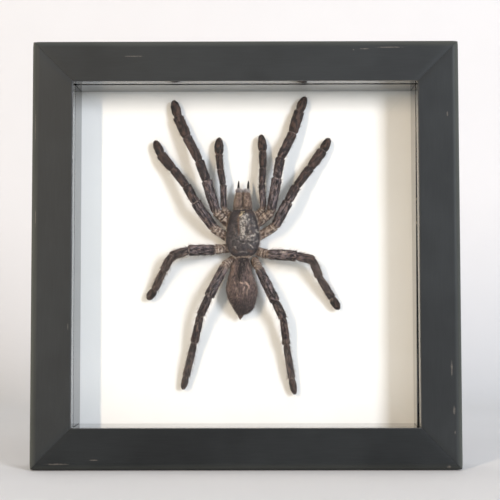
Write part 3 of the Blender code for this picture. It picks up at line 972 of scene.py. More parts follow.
limbCoats = {  # amounts on a front leg, a rear leg and a pedipalp
    "fur": coat((2000, 2000, 1333), (0.35, 0.8), (0.45, 0.95), (0.028, 0.045), 0.12, 0.12, 0, 0.85, 0.05),
    "bristles": coat((560, 840, 373), (0.55, 1.3), (1.2, 2.2), (0.036, 0.054), 0.18, 0.10, 0.05, 0.8, 0.12),
    "pale_hair": coat((170, 170, 110), (0.15, 0.45), (0.5, 1.5), (0.03, 0.045), 0.1, 0.1, 0),
}
rearBristles = dict(limbCoats["bristles"], length=(1.2, 3.2))


def segmentGirth(t, neck):  # swells from a narrow neck, flares at the far rim, then drops
    rise = neck + (0.93 - neck) * ease(t, 0.0, 0.11) + 0.07 * ease(t, 0.08, 0.5)
    flare = 0.035 * ease(t, 0.75, 0.94)
    drop = (1.035 - neck - 0.02) * ease(t, 0.955, 1.0)
    return rise + flare - drop


def tarsusGirth(t, neck):
    rise = neck + (1.0 - neck) * ease(t, 0.0, 0.30)
    taper = np.maximum(1 - np.clip((t - 0.38) / 0.62, 0, 1) ** 2.2, 0.0) ** 0.5
    return rise * taper


def bentLine(joints, segment, t, reach):  # point and direction on the centre line, bends rounded off
    lengths = np.linalg.norm(np.diff(joints, axis=0), axis=1)
    ways = unit(np.diff(joints, axis=0))
    d = t * lengths[segment]
    turn = None
    if segment > 0:
        r = min(reach, 0.4 * lengths[segment - 1], 0.4 * lengths[segment])
        if d < r:
            turn = (segment, 0.5 + d / (2 * r), r)
    if segment < len(lengths) - 1:
        r = min(reach, 0.4 * lengths[segment + 1], 0.4 * lengths[segment])
        if lengths[segment] - d < r:
            turn = (segment + 1, 0.5 - (lengths[segment] - d) / (2 * r), r)
    if turn is None:
        return joints[segment] + ways[segment] * d, ways[segment]
    j, u, r = turn
    a = joints[j] - ways[j - 1] * r
    c = joints[j] + ways[j] * r
    point = (1 - u) ** 2 * a + 2 * u * (1 - u) * joints[j] + u ** 2 * c
    way = unit(2 * (1 - u) * (joints[j] - a) + 2 * u * (c - joints[j]))
    return point, way


def limbLayout(name, root, segments, make):
    isLeg = name.startswith("leg")
    heights = make["legHeights"] if isLeg else make["palpHeights"]
    widths = make[name[:5] if isLeg else "pedipalp"]
    x, z = root
    joints = [onCard(x, heights[0], z)]
    for (length, bearing), height in zip(segments, heights[1:]):
        x += length * math.sin(math.radians(bearing))
        z += length * math.cos(math.radians(bearing))
        joints.append(onCard(x, height, z))
    split = joints[0] + (joints[1] - joints[0]) * make["coxaShare"]
    joints.insert(1, split)
    return np.array(joints), [widths[0], (widths[0] + widths[1]) / 2] + list(widths[1:])


def limbPath(joints, widths, make):  # centre line, its directions, radii, segment numbers and places
    count = len(widths)
    spots = 0.5 - 0.5 * np.cos(np.linspace(0, math.pi, make["rings"]))
    centres, ways, radii, segment, place = [], [], [], [], []
    for i in range(count):
        last = i == count - 1
        ts = spots * 0.998 if last else spots[:-1]
        girth = (tarsusGirth if last else segmentGirth)(ts, make["neck"])
        if i < 2:  # coxa and trochanter are less waisted
            girth = (girth + make["rootGirth"]) / 2
        before = widths[max(i - 1, 0)]
        blend = ease(ts, 0.0, 0.10)
        width = before * 0.92 * (1 - blend) + widths[i] * blend if i else np.full_like(ts, widths[i])
        for t, g, w in zip(ts, girth, width):
            point, way = bentLine(joints, i, t, make["bendReach"])
            centres.append(point)
            ways.append(way)
            radii.append(g * w / 2)
            segment.append(i)
            place.append(t)
    return np.array(centres), unit(np.array(ways)), np.array(radii), np.array(segment), np.array(place)


def limbBands(bare, segment, place, make, seed):  # crooked pale and dark rings near the root
    crooked = rough(bare, 1.3, seed + 2) * 0.16
    broken = 0.35 + 0.65 * ease(rough(bare, 1.6, seed + 6), -0.25, 0.15)
    shades = {"pale": np.zeros(bare.shape[:2]), "dark": np.zeros(bare.shape[:2])}
    for number, kind, rings in make["bands"]:
        here = (segment == number)[:, None]
        for middle, width in rings:
            band = np.exp(-((place[:, None] + crooked - middle) / width) ** 2) * here * broken
            shades[kind] = np.maximum(shades[kind], band)
    return shades["pale"], shades["dark"]


def limbNap(centres, around, radii, seed):  # streaks that run along the limb
    walked = np.concatenate([[0.0], np.cumsum(np.linalg.norm(np.diff(centres, axis=0), axis=1))])
    spread = around * (radii * 1.5)[:, None, None]
    length = np.broadcast_to(walked[:, None] * 0.40, around.shape[:2])
    streaked = np.stack([spread[..., 0], spread[..., 2], length], axis=-1) + spread[..., 1:2] * 0.7
    return 0.5 + rough(streaked, 1.0, seed + 13) * 0.8


def jointRims(segment, place, last):  # pale skin shows where one segment meets the next
    rims = np.maximum(0.4 - 0.4 * ease(place, 0.0, 0.02), ease(place, 0.965, 0.985))
    rims[(segment == 0) & (place < 0.5)] = 0
    rims[(segment == last) & (place > 0.5)] = 0
    return rims


def makeLimb(name, root, segments, make, seed):
    joints, widths = limbLayout(name, root, segments, make)
    centres, ways, radii, segment, place = limbPath(joints, widths, make)
    last = len(widths) - 1
    turns = np.arange(make["sides"]) * 2 * math.pi / make["sides"]
    across = unit(np.cross(ways, np.array([0.0, -1.0, 0.0])))
    out = unit(np.cross(across, ways))
    cosines, sines = np.cos(turns)[None, :, None], np.sin(turns)[None, :, None]
    around = across[:, None] * cosines + out[:, None] * sines * make["tall"]
    bare = centres[:, None] + around * radii[:, None, None]
    middle = (ease(place, 0.08, 0.3) * (1 - ease(place, 0.75, 0.95)))[:, None]
    stripes = np.zeros(bare.shape[:2])
    stripeTurn, stripeWidth = make["stripes"]
    for offset in (-stripeTurn, stripeTurn):
        stripes += np.exp(-((turns[None] - math.pi / 2 - offset) / stripeWidth) ** 2) * middle
    stripes[(segment < 2) | (segment == last)] = 0
    pale, dark = limbBands(bare, segment, place, make, seed)
    folds = sum(rough(bare, grain, seed + more) * height for grain, more, height in make["folds"])
    creases = rough(around * 2.2 + segment[:, None, None] * 3.1, 1.0, seed + 9) * 0.08
    swell = 1 + folds + creases * middle - stripes * 0.05 + pale * 0.03 - dark * 0.07
    rings = centres[:, None] + around * (radii[:, None] * swell)[..., None]

    front = name.startswith(("leg_1", "leg_2", "pedipalp"))
    pads = make["pads"]["front" if front else "rear"] + (0.0,) * len(widths)
    pad = np.array([pads[last - number] for number in segment])
    rooted = np.where(segment < 2, 1.0, (segment == 2) * (1 - ease(place, 0.03, 0.15)))
    far = ease(segment + place, 2.7, 3.6) * (segment > 1)
    spotX, spotZ, halfX, halfZ = make["rubbed"]
    away = ((bare[..., 0] - spotX) / halfX) ** 2 + ((bare[..., 2] - frameHalf - spotZ) / halfZ) ** 2
    marks = {
        "nap": limbNap(centres, around, radii, seed),
        "rubbed": np.exp(-away) * (np.sin(turns) > 0)[None],
        "stripe": stripes,
        # 1 on the top of the limb, 0 underneath: the finish paints a sheen on the top with it
        "lift": np.tile(0.5 + 0.5 * np.sin(turns), (len(place), 1)),
        "pale": pale,
        "dark": dark,
    }
    # these are the same all round a ring
    plain = {"far": far, "joint": jointRims(segment, place, last), "base": rooted, "pad": pad}
    for mark, values in plain.items():
        marks[mark] = np.tile(values[:, None], (1, len(turns)))
    addPiece(name + "_skin", skin(name, rings, marks), legSkin, (name,))
    return {
        "name": name, "rings": rings, "centres": centres, "ways": ways,
        "segment": segment, "place": place, "last": last,
    }


def limbPicks(limb, amount, weights):  # random ring numbers, denser where the weights say
    chance = np.linalg.norm(np.diff(limb["centres"], axis=0), axis=1) * weights[:-1]
    return rng.choice(len(chance), size=amount, p=chance / chance.sum())


def limbRoots(limb, picks, share, j, k, part):  # points on the skin, with their ways out and along
    rings, centres = limb["rings"], limb["centres"]
    near = rings[picks, j] * (1 - part) + rings[picks, k] * part
    far = rings[picks + 1, j] * (1 - part) + rings[picks + 1, k] * part
    root = near * (1 - share) + far * share
    centre = centres[picks] * (1 - share) + centres[picks + 1] * share
    return root, unit(root - centre), limb["ways"][picks]


def combLimb(name, roots, hair, finish, shorten=1.0):
    root, outward, along = roots
    amount = len(root)
    lean = rng.uniform(*hair["lean"], amount)[:, None]
    way = outward * lean + along * hair["along"] + rng.normal(size=(amount, 3)) * hair["scatter"]
    lengths = rng.uniform(*hair["length"], amount) * shorten
    widths = rng.uniform(*hair["width"], amount)
    bends = along * hair["sweep"] - outward * hair["droop"]
    if hair["curl"]:
        bends = bends + rng.normal(size=(amount, 3)) * hair["curl"]
    hairs(name, root, way, lengths, widths, bends, finish)


def furLimb(limb, coats):
    name, segment, place, last = limb["name"], limb["segment"], limb["place"], limb["last"]
    sides = limb["rings"].shape[1]
    rear = name.startswith(("leg_3", "leg_4"))
    palp = name.startswith("pedipalp")
    kind = 1 if rear else 2 if palp else 0

    furWeights = np.ones(last + 1)
    furWeights[:2] = 1.2
    furWeights[-2:] = 1.8
    bristleWeights = np.ones(last + 1)
    bristleWeights[:2] = 0.5
    bristleWeights[-1] = 0.15
    if rear:
        bristleWeights[3:] *= 1.5
    for coatName, weights, lifted in (("fur", furWeights, 0.7), ("bristles", bristleWeights, 0.0)):
        hair = coats[coatName]
        amount = hair["amount"][kind]
        picks = limbPicks(limb, amount, weights[segment] * (place > 0.03))
        share = rng.random(amount)[:, None]
        angle = rng.random(amount) * sides
        if lifted:  # most hairs from the underside go to the top instead
            under = np.sin(angle / sides * 2 * math.pi) < -0.3
            angle = np.where(under & (rng.random(amount) < lifted), (sides - angle) % sides, angle)
        j = angle.astype(int) % sides
        roots = limbRoots(limb, picks, share, j, (j + 1) % sides, (angle % 1)[:, None])
        if coatName == "fur":
            soles = segment[picks] >= (last if rear else last - 1)
            combLimb(name + "_fur", roots, hair, darkHair, np.where(soles, 0.75, 1.0))
        elif rear:
            combLimb(name + "_bristles", roots, rearBristles, paleHair)
        else:
            combLimb(name + "_bristles", roots, hair, brownHair)

    hair = coats["pale_hair"]
    amount = hair["amount"][kind]
    rooted = (segment < 2) | ((segment == 2) & (place < 0.12))
    picks = limbPicks(limb, amount, (rooted | ((place > 0.92) & (segment < last))).astype(float))
    j = rng.integers(0, sides, amount)
    share = rng.random(amount)[:, None]
    combLimb(name + "_pale_hair", limbRoots(limb, picks, share, j, j, 0.0), hair, paleHair)


limbs = []
for number, (name, (root, segments)) in enumerate(list(legSetups.items()) + list(palpSetups.items())):
    limbs.append(makeLimb(name, root, segments, limbMake, 11.0 * number))
for limb in limbs:
    furLimb(limb, limbCoats)
print("legs done")


bodyAxis = -1.7
shield = {
    # position up the body, half width, top
    "stations": [
        (26.5, 2.4, 9.0), (26.0, 4.3, 10.4), (24.6, 6.0, 12.2), (22.0, 7.3, 13.6), (17.0, 8.6, 14.2),
        (11.5, 9.4, 13.8), (6.5, 9.4, 13.0), (2.8, 8.2, 12.2), (0.0, 5.9, 11.0), (-1.7, 2.6, 9.6),
    ],
    "rim": 8.2,
    "rings": 120,
    "sides": 110,
    "fovea": 7.0,  # how far up the pit in the middle lies
    "pit": (1.25, 0.5, 0.95),  # half width, half height, depth
    "caput": (4.3, 0.8),  # half width and rise of the head
    "knoll": (23.4, 1.35, 1.1, 1.05),  # the eyes' mound: how far up, half width, half length, height
    # angle, length and depth of the grooves that run out from the fovea on each side
    "grooves": ((27, 12.0, 0.34), (62, 6.5, 0.22), (92, 6.5, 0.22), (124, 6.5, 0.22), (152, 6.5, 0.22)),
    "bumps": ((1.7, 2.0, 0.16), (0.6, 4.0, 0.06)),  # grain, seed and height
    # worn, paler strokes: from and to, across and up from the axis, width, strength
    "worn": [
        (-0.5, 21.0, -0.6, 9.6, 0.95, 1.1), (0.9, 21.6, 0.9, 11.0, 0.9, 1.1),
        (2.2, 22.4, 2.0, 17.5, 0.8, 0.8), (3.4, 19.6, 4.0, 12.6, 0.55, 0.8),
        (5.4, 21.0, 6.6, 16.0, 0.5, 0.4), (0.4, 12.6, 1.6, 9.4, 1.1, 0.9),
        (1.8, 9.4, 6.6, 10.9, 0.75, 1.1), (3.2, 8.2, 6.0, 8.6, 0.5, 0.7),
        (3.2, 6.0, 5.2, 4.1, 0.5, 1.2), (-4.2, 4.6, -4.0, 3.6, 0.4, 1.0),
        (-2.8, 7.6, -0.2, 6.4, 0.28, 0.8), (2.4, 7.6, 0.2, 6.4, 0.28, 0.8),
        (7.6, 13.8, 8.8, 12.6, 0.5, 0.9), (-1.4, 9.6, 1.4, 8.8, 0.4, 0.6),
        (-6.5, 8.0, -4.5, 9.2, 0.5, 0.2), (-1.4, 1.6, 2.6, 1.2, 0.5, 0.35),
        (5.8, 6.8, 8.2, 7.6, 0.5, 0.4), (-5.6, 17.0, -4.0, 11.0, 0.5, 0.2),
    ],
    "rust": [
        (-2.5, 20.8, -2.2, 11.5, 0.5, 1.0), (-1.9, 23.2, -2.4, 20.0, 0.45, 0.8),
        (2.8, 2.6, 5.0, 1.8, 0.6, 0.4),
    ],
    "cream": [
        (-1.4, 22.1, -0.8, 22.2, 0.28, 1.1), (-0.6, 22.7, -0.4, 23.3, 0.22, 1.1),
        (-0.8, 23.8, 0.0, 23.8, 0.2, 0.5),
    ],
}
bodyCoats = {
    "carapace_hair": coat(1900, (0.12, 0.5), (0.4, 0.8), (0.02, 0.032), 0.12, 0.10, 0),
    "carapace_fringe": coat(2000, (-0.2, 0.35), (0.6, 1.4), (0.028, 0.042), 0.12, 0.10, 0),
    "abdomen_fur": coat(4800, (0.2, 0.6), (0.6, 1.2), (0.022, 0.036)),
    "abdomen_dark_fur": coat(2200, (0.2, 0.6), (0.6, 1.2), (0.025, 0.04)),
    "abdomen_bristles": coat(700, (0.4, 1.1), (1.2, 2.4), (0.028, 0.042)),
    "jaw_hair": coat(1500, (0.1, 0.4), (0.5, 1.1), (0.025, 0.04)),
    "jaw_tuft": coat(700, (0.2, 0.8), (0.9, 2.1), (0.03, 0.045)),
    "spinneret_hair": coat(260, (0.2, 0.5), (0.4, 0.8), (0.025, 0.035)),
}


def strokes(x, z, lines):  # how strongly each point lies on soft brush-like lines
    total = np.zeros_like(x)
    for ax, az, bx, bz, width, strength in lines:
        reach = (bx - ax) ** 2 + (bz - az) ** 2
        t = np.clip(((x - ax) * (bx - ax) + (z - az) * (bz - az)) / reach, 0, 1)
        far = (x - ax - t * (bx - ax)) ** 2 + (z - az - t * (bz - az)) ** 2
        total = np.maximum(total, strength * np.exp(-far / width ** 2))
    return total


def shieldRelief(x, z, make):  # height added to the plain dome, and how deep the grooves lie
    up = z - make["fovea"]
    halfWidth, halfHeight, pitDepth = make["pit"]
    pit = np.exp(-((x / halfWidth) ** 2 + ((up + 0.10 * x ** 2) / halfHeight) ** 2))
    grooves = np.zeros_like(x)
    for angle, reach, depth in make["grooves"]:
        wayX, wayZ = math.sin(math.radians(angle)), math.cos(math.radians(angle))
        along = np.abs(x) * wayX + up * wayZ
        aside = np.abs(np.abs(x) * wayZ - up * wayX)
        ends = ease(along, 0.6, 1.8) * (1 - ease(along, reach * 0.7, reach))
        line = np.exp(-(aside / (0.5 + 0.03 * along)) ** 2) * ends
        grooves = np.maximum(grooves, line * depth)
    halfWidth, rise = make["caput"]
    caput = rise * np.exp(-(x / halfWidth) ** 4) * ease(z, 11.5, 17.0) * (1 - ease(z, 24.0, 26.5))
    knollUp, halfWidth, halfLength, rise = make["knoll"]
    knoll = rise * np.exp(-((x / halfWidth) ** 2 + ((z - knollUp) / halfLength) ** 2))
    return caput + knoll - pitDepth * pit - grooves, np.clip(grooves * 0.7 + pit * 0.8, 0, 1)


def makeShield(make):
    wheres = np.concatenate([[26.5, 26.42, 26.3], np.linspace(26.1, -1.4, make["rings"]), [-1.6, -1.68]])
    table = softCurve(make["stations"], wheres)
    sides = make["sides"]
    arch = int(sides * 0.7)  # this many points of a ring are on top
    angles = np.linspace(0, math.pi, arch)
    rings = []
    marks = {"worn": [], "rust": [], "cream": [], "groove": []}
    for z, (half, top) in zip(wheres, table):
        x = half * np.cos(angles)
        height = make["rim"] + (top - make["rim"]) * np.sin(angles) ** 0.85
        relief, depth = shieldRelief(x, np.full_like(x, z), make)
        height = height + relief * np.sin(angles) ** 0.6 * ease(half, 2.0, 5.0)
        under = np.linspace(-1, 1, sides - arch + 2)[1:-1]
        bellyX = half * 0.9 * under
        bellyHeight = make["rim"] - 0.5 - 6.6 * (1 - np.abs(under) ** 3)
        across = np.concatenate([x, bellyX])
        up = np.concatenate([height, bellyHeight])
        rings.append(onCard(bodyAxis + across, up, np.full(sides, z)))
        ragged = rough(np.stack([x, x * 0, np.full_like(x, z)], axis=-1), 1.3, 3.3) * 0.7
        below = np.zeros(sides - arch)
        for name in ("worn", "rust", "cream"):
            marks[name].append(np.concatenate([strokes(x + ragged, z + ragged, make[name]), below]))
        marks["groove"].append(np.concatenate([depth, below + 1]))
    rings = np.array(rings)
    bumps = sum(rough(rings, grain, seed) * height for grain, seed, height in make["bumps"])
    rings[:, :arch, 1] -= bumps[:, :arch]
    addPiece("carapace", skin("carapace", rings, marks), shieldSkin, ("cephalothorax",))
    return rings[:, :arch]


def gridNormals(grid):  # all of them face out of the card
    normal = unit(np.cross(np.gradient(grid, axis=0), np.gradient(grid, axis=1)))
    return normal * -np.sign(normal[..., 1:2] + 1e-9)


def skinRoots(grid, normals, amount, *favours):  # random spots on a grid of skin, with their normals
    steps = np.cross(np.gradient(grid, axis=0), np.gradient(grid, axis=1))
    chance = np.linalg.norm(steps, axis=-1)[:-1, :-1]
    for favour in favours:
        chance = chance * favour
    picks = rng.choice(chance.size, size=amount, p=chance.ravel() / chance.sum())
    i, j = np.unravel_index(picks, chance.shape)
    a, b = rng.random((2, amount, 1))
    near = grid[i, j] * (1 - a) + grid[i + 1, j] * a
    far = grid[i, j + 1] * (1 - a) + grid[i + 1, j + 1] * a
    return near * (1 - b) + far * b, normals[i, j]


def combSkin(name, roots, along, hair, finish):
    root, normal = roots
    amount = len(root)
    lean = normal * rng.uniform(*hair["lean"], amount)[:, None]
    way = along + lean + rng.normal(size=(amount, 3)) * hair["scatter"]
    bends = -normal * hair["droop"]
    if hair["curl"]:
        bends = bends + rng.normal(size=(amount, 3)) * hair["curl"]
    lengths = rng.uniform(*hair["length"], amount)
    hairs(name, root, way, lengths, rng.uniform(*hair["width"], amount), bends, finish)


def furShield(top, make, coats):
    fovea = onCard(bodyAxis, 12.0, make["fovea"])
    normals = gridNormals(top)
    hair = coats["carapace_hair"]
    roots = skinRoots(top, normals, hair["amount"])
    inward = unit(fovea - roots[0])
    combSkin("carapace_hair", roots, inward, hair, brownHair)
    hair = coats["carapace_fringe"]
    rim = np.zeros(top.shape[:2])
    rim[:, :4] = 1
    rim[:, -4:] = 1
    rim[:7] = 0.4
    rim[-7:] = 1.0
    roots = skinRoots(top, normals, hair["amount"], rim[:-1, :-1])
    outward = unit((roots[0] - fovea) * np.array([1.0, 0.15, 1.0]))
    combSkin("carapace_fringe", roots, outward, hair, paleHair)


furShield(makeShield(shield), shield, bodyCoats)


eyes = {
    "up": 23.5,
    "height": 15.6,
    # out from the axis, up from the middle of the group, radius
    "pairs": [(0.42, 0.35, 0.30), (0.95, 0.62, 0.24), (0.98, -0.35, 0.22), (0.55, -0.55, 0.17)],
    "rows": 8,
    "columns": 14,
}


def makeEyes(make):
    rows, columns = make["rows"], make["columns"]
    points, faces = [], []
    for across, along, radius in make["pairs"]:
        height = make["height"] - 0.55 * across ** 2
        for sign in (-1, 1):
            middle = onCard(bodyAxis + sign * across, height, make["up"] + along)
            first = len(points)
            for i in range(1, rows):
                lat = math.pi * i / rows
                for j in range(columns):
                    lon = 2 * math.pi * j / columns
                    offset = (math.sin(lat) * math.cos(lon), math.cos(lat), math.sin(lat) * math.sin(lon))
                    points.append(middle + radius * np.array(offset))
            faces += ringFaces(rows - 1, columns, first)
            last = first + (rows - 2) * columns
            faces.append(tuple(first + j for j in range(columns)))
            faces.append(tuple(last + j for j in reversed(range(columns))))
    mesh = bpy.data.meshes.new("eyes")
    mesh.from_pydata((np.array(points) * mm).tolist(), [], faces)
    addPiece("eyes", mesh, eyeFinish(spiderTints))


makeEyes(eyes)


belly = {
    # position up the body, middle across from the axis, half width, underside, top
    "stations": [
        (-1.2, -0.1, 1.2, 6.0, 8.6), (-1.8, -0.2, 3.2, 4.0, 10.4), (-3.6, -0.8, 4.5, 2.4, 11.8),
        (-5.6, -1.1, 5.3, 1.6, 12.6), (-8.4, -1.2, 6.0, 1.0, 13.3), (-11.3, -1.1, 6.8, 0.6, 13.9),
        (-14.1, -0.95, 7.7, 0.5, 14.4), (-16.9, -0.75, 8.5, 0.4, 14.7), (-19.7, -0.6, 8.9, 0.4, 14.8),
        (-22.6, -0.45, 8.5, 0.5, 14.3), (-25.4, -0.3, 7.6, 0.7, 13.3), (-28.2, 0.1, 6.4, 1.3, 11.9),
        (-30.5, 0.3, 5.3, 2.0, 10.4), (-32.2, 0.0, 4.0, 2.9, 8.8), (-33.3, -0.6, 2.6, 3.8, 7.6),
        (-33.8, -0.9, 0.8, 4.8, 6.4),
    ],
    "rings": 140,
    "sides": 100,
    "ridge": (1.4, 0.35),  # half width and height
    "valleys": (2.6, 1.0, 0.55),  # out from the axis, half width, depth
    "pits": ((3.0, -9.5), (3.2, -14.0), (2.8, -18.5)),  # out from the axis, and up
    "pit": (0.55, 0.6, 0.5),  # half width, half height, depth
    "wrinkles": (1.5, 6.0, 0.20),  # grain, seed and height; they run lengthwise
    "dents": (4.5, 1.0, 0.28),
    "pores": (0.7, 9.0, 0.06),
    # pale tufts: from and to, across and up from the axis, width, strength
    "tufts": [
        (1.6, -15.6, 3.2, -17.6, 0.45, 1.0), (3.2, -17.6, 3.3, -19.0, 0.4, 0.8),
        (0.8, -18.4, 0.3, -20.0, 0.45, 1.0), (-1.6, -15.8, 0.6, -16.2, 0.4, 0.8),
        (-4.6, -15.6, -4.0, -16.6, 0.4, 0.5), (2.6, -19.6, 2.2, -22.5, 0.4, 0.5),
        (3.0, -6.0, 3.9, -9.0, 0.4, 0.6), (0.2, -20.6, 0.0, -23.6, 0.35, 0.5),
        (4.4, -11.5, 5.0, -14.5, 0.5, 0.4), (-5.6, -6.5, -6.0, -11.0, 0.7, 0.5),
        (-3.0, -19.0, -3.2, -23.5, 0.5, 0.35),
    ],
}


def makeBelly(make):
    between = np.linspace(-33.55, -1.4, make["rings"])
    wheres = np.concatenate([[-33.8, -33.77, -33.7], between, [-1.3, -1.22, -1.2]])
    table = softCurve(make["stations"], wheres)
    angles = np.arange(make["sides"]) * 2 * math.pi / make["sides"]
    ridgeWidth, ridgeHeight = make["ridge"]
    valleyAt, valleyWidth, valleyDepth = make["valleys"]
    pitWidth, pitLength, pitDepth = make["pit"]
    rings = []
    marks = {"heart": [], "tail": [], "tuft": [], "gold": []}
    for z, (middle, half, low, top) in zip(wheres, table):
        half = max(half, 0.15)
        x = half * np.cos(angles)
        side = np.sin(angles)
        height = (low + top) / 2 + (top - low) / 2 * side
        up = np.clip(side, 0, 1)
        out = np.abs(x)
        ridge = ridgeHeight * np.exp(-(x / ridgeWidth) ** 2) * ease(z, -24, -14) * up
        valley = valleyDepth * np.exp(-((out - valleyAt) / valleyWidth) ** 2)
        valley = valley * ease(z, -18, -8) * (1 - ease(z, -6, -3)) * up
        pits = np.zeros_like(x)
        for pitX, pitZ in make["pits"]:
            away = ((out - pitX) / pitWidth) ** 2 + ((z - pitZ) / pitLength) ** 2
            pits += pitDepth * np.exp(-away) * up
        height = height + ridge - valley - pits
        rings.append(onCard(bodyAxis + middle + x, height, np.full_like(x, z)))
        across = middle + x
        track = -0.4 - 0.25 * (-z - 6.0)  # the dark heart mark runs down and to the left
        width = 3.0 - 1.6 * ease(-z, 3.0, 12.0)
        marks["heart"].append(np.exp(-((across - track) / width) ** 4) * (1 - ease(-z, 13.0, 17.0)) * up)
        marks["tail"].append(ease(-z, 23.0, 30.0) * (0.8 + 0.2 * up))
        length = ease(-z, 3.0, 8.0) * (1 - ease(-z, 19.0, 25.0))
        marks["gold"].append(ease(out / half, 0.35, 0.8) * length * up ** 0.5)
        marks["tuft"].append(strokes(across, np.full_like(x, z), make["tufts"]) * up)
    rings = np.array(rings)
    axis = rings.mean(axis=1, keepdims=True)
    lengthwise = rings * np.array([1.6, 1.0, 0.45])
    relief = 0.0
    for points, name in ((lengthwise, "wrinkles"), (rings, "dents"), (rings, "pores")):
        grain, seed, height = make[name]
        relief = relief + rough(points, grain, seed) * height
    near = np.minimum(1, np.linalg.norm(rings - axis, axis=-1, keepdims=True) / 3)
    rings = rings + unit(rings - axis) * relief[..., None] * near
    addPiece("abdomen_skin", skin("abdomen", rings, marks), bellySkin, ("abdomen",))
    return rings, np.clip(np.array(marks["heart"]) + np.array(marks["tail"]), 0, 1)[:-1]


def furBody(name, rings, trail, hair, finish, keep=1):  # hairs trail one way over closed rings
    closed = np.concatenate([rings, rings[:, :1]], axis=1)
    outward = unit(closed - closed.mean(axis=1, keepdims=True))
    facing = 0.15 + np.clip(-outward[:-1, :-1, 1] + 0.4, 0, 1)
    roots = skinRoots(closed, outward, hair["amount"], facing, keep)
    combSkin(name, roots, np.array([0.0, 0.0, trail]), hair, finish)


def furBelly(rings, shade, coats):
    for name, finish, keep in (
        ("abdomen_fur", brownHair, 1 - shade * 0.85),
        ("abdomen_dark_fur", darkHair, shade),
        ("abdomen_bristles", paleHair, 1),
    ):
        furBody(name, rings, -1.0, coats[name], finish, keep)


furBelly(*makeBelly(belly), bodyCoats)
print("body done")


jaws = {
    # position up the body, inner side, outer side, underside, top
    "stations": [
        (25.0, 0.04, 5.25, 3.0, 10.6), (27.0, 0.04, 5.40, 2.6, 11.6), (30.5, 0.04, 4.95, 2.2, 12.0),
        (33.0, 0.05, 4.45, 2.6, 11.4), (34.6, 0.12, 4.05, 3.0, 10.4), (35.6, 0.30, 3.70, 3.6, 9.4),
        (36.3, 0.8, 3.3, 4.4, 8.6), (36.7, 1.6, 2.6, 5.6, 7.4),
    ],
    "boxy": 0.66,
    "rings": 60,
    "sides": 44,
    "tuftFrom": 0.82,  # share of the length
}
fangs = {
    "across": 2.75,  # out from the axis; both then sit a little to the right
    "aside": 0.15,
    "base": 35.6,
    "reach": 7.0,
    "drop": 3.2,
    "lean": 0.35,
    "height": 7.2,
    "radius": 0.8,
    "rings": 26,
    "sides": 16,
}
spinners = {
    "start": -31.6,
    "rings": 30,
    "sides": 18,
    # foot and tip across from the axis, length, foot radius
    "left": (-2.5, -1.5, 5.0, 1.35),
    "right": (0.1, -1.0, 4.2, 1.25),
}


def makeJaw(side, sign, make):
    wheres = np.concatenate([np.linspace(25.0, 36.4, make["rings"]), [36.52, 36.62, 36.68, 36.7]])
    table = softCurve(make["stations"], wheres)
    angles = np.arange(make["sides"]) * 2 * math.pi / make["sides"]
    squared = make["boxy"]
    bendX = np.sign(np.cos(angles)) * np.abs(np.cos(angles)) ** squared
    bendY = np.sign(np.sin(angles)) * np.abs(np.sin(angles)) ** squared
    rings, sides, foot = [], [], []
    for z, (inner, outer, low, top) in zip(wheres, table):
        x = sign * ((inner + outer) / 2 + max(outer - inner, 0.2) / 2 * bendX * sign)
        height = (low + top) / 2 + (top - low) / 2 * bendY
        rings.append(onCard(bodyAxis + x, height, np.full_like(x, z)))
        # 1 on the jaw's inner and outer faces, which are painted darker as shade
        sides.append(ease(np.abs(np.cos(angles)), 0.6, 0.98))
        # 1 at the jaw's root under the carapace's front edge, where a shadow is painted
        foot.append(np.full_like(x, 1 - ease(z, 25.5, 29.0)))
    rings = np.array(rings)
    axis = rings.mean(axis=1, keepdims=True)
    streaks = rough(rings * np.array([1.0, 1.0, 0.22]), 0.55, 3.0 * sign) * 0.10
    streaks = streaks + rough(rings, 2.2, sign) * 0.10
    rings = rings + unit(rings - axis) * streaks[..., None]
    rings[..., 0] = bodyAxis + sign * np.maximum(sign * (rings[..., 0] - bodyAxis), 0.03)
    mesh = skin("chelicera_" + side, rings, {"side": sides, "foot": foot})
    addPiece("jaw_" + side, mesh, jawSkin, ("chelicera_" + side,))
    furBody("jaw_hair_" + side, rings, 1.0, bodyCoats["jaw_hair"], paleHair)
    tip = (np.arange(len(rings)) > len(rings) * make["tuftFrom"])[:-1, None] * 1.0
    furBody("jaw_tuft_" + side, rings, 1.0, bodyCoats["jaw_tuft"], greyHair, tip)


def makeFang(side, sign, make):
    across = np.array([1.0, 0.0, 0.0])
    turns = np.arange(make["sides"]) * 2 * math.pi / make["sides"]
    rings = []
    for i in range(make["rings"]):
        share = i / (make["rings"] - 1)
        angle = share * math.pi / 2
        drop = make["drop"] * (1 - math.cos(angle))
        x = bodyAxis + sign * make["across"] + make["aside"] + make["lean"] * share
        centre = onCard(x, make["height"] - drop, make["base"] + make["reach"] * math.sin(angle))
        way = unit(np.array([0.0, make["drop"] * math.sin(angle), make["reach"] * math.cos(angle) + 0.3]))
        out = np.cross(across, way)
        radius = make["radius"] * (1 - share ** 1.5) ** 0.9 + 0.03
        rings.append(centre + radius * (np.cos(turns)[:, None] * across + np.sin(turns)[:, None] * out))
    mesh = skin("fang_" + side, np.array(rings))
    addPiece("fang_horn_" + side, mesh, clawHorn, ("fang_" + side,))


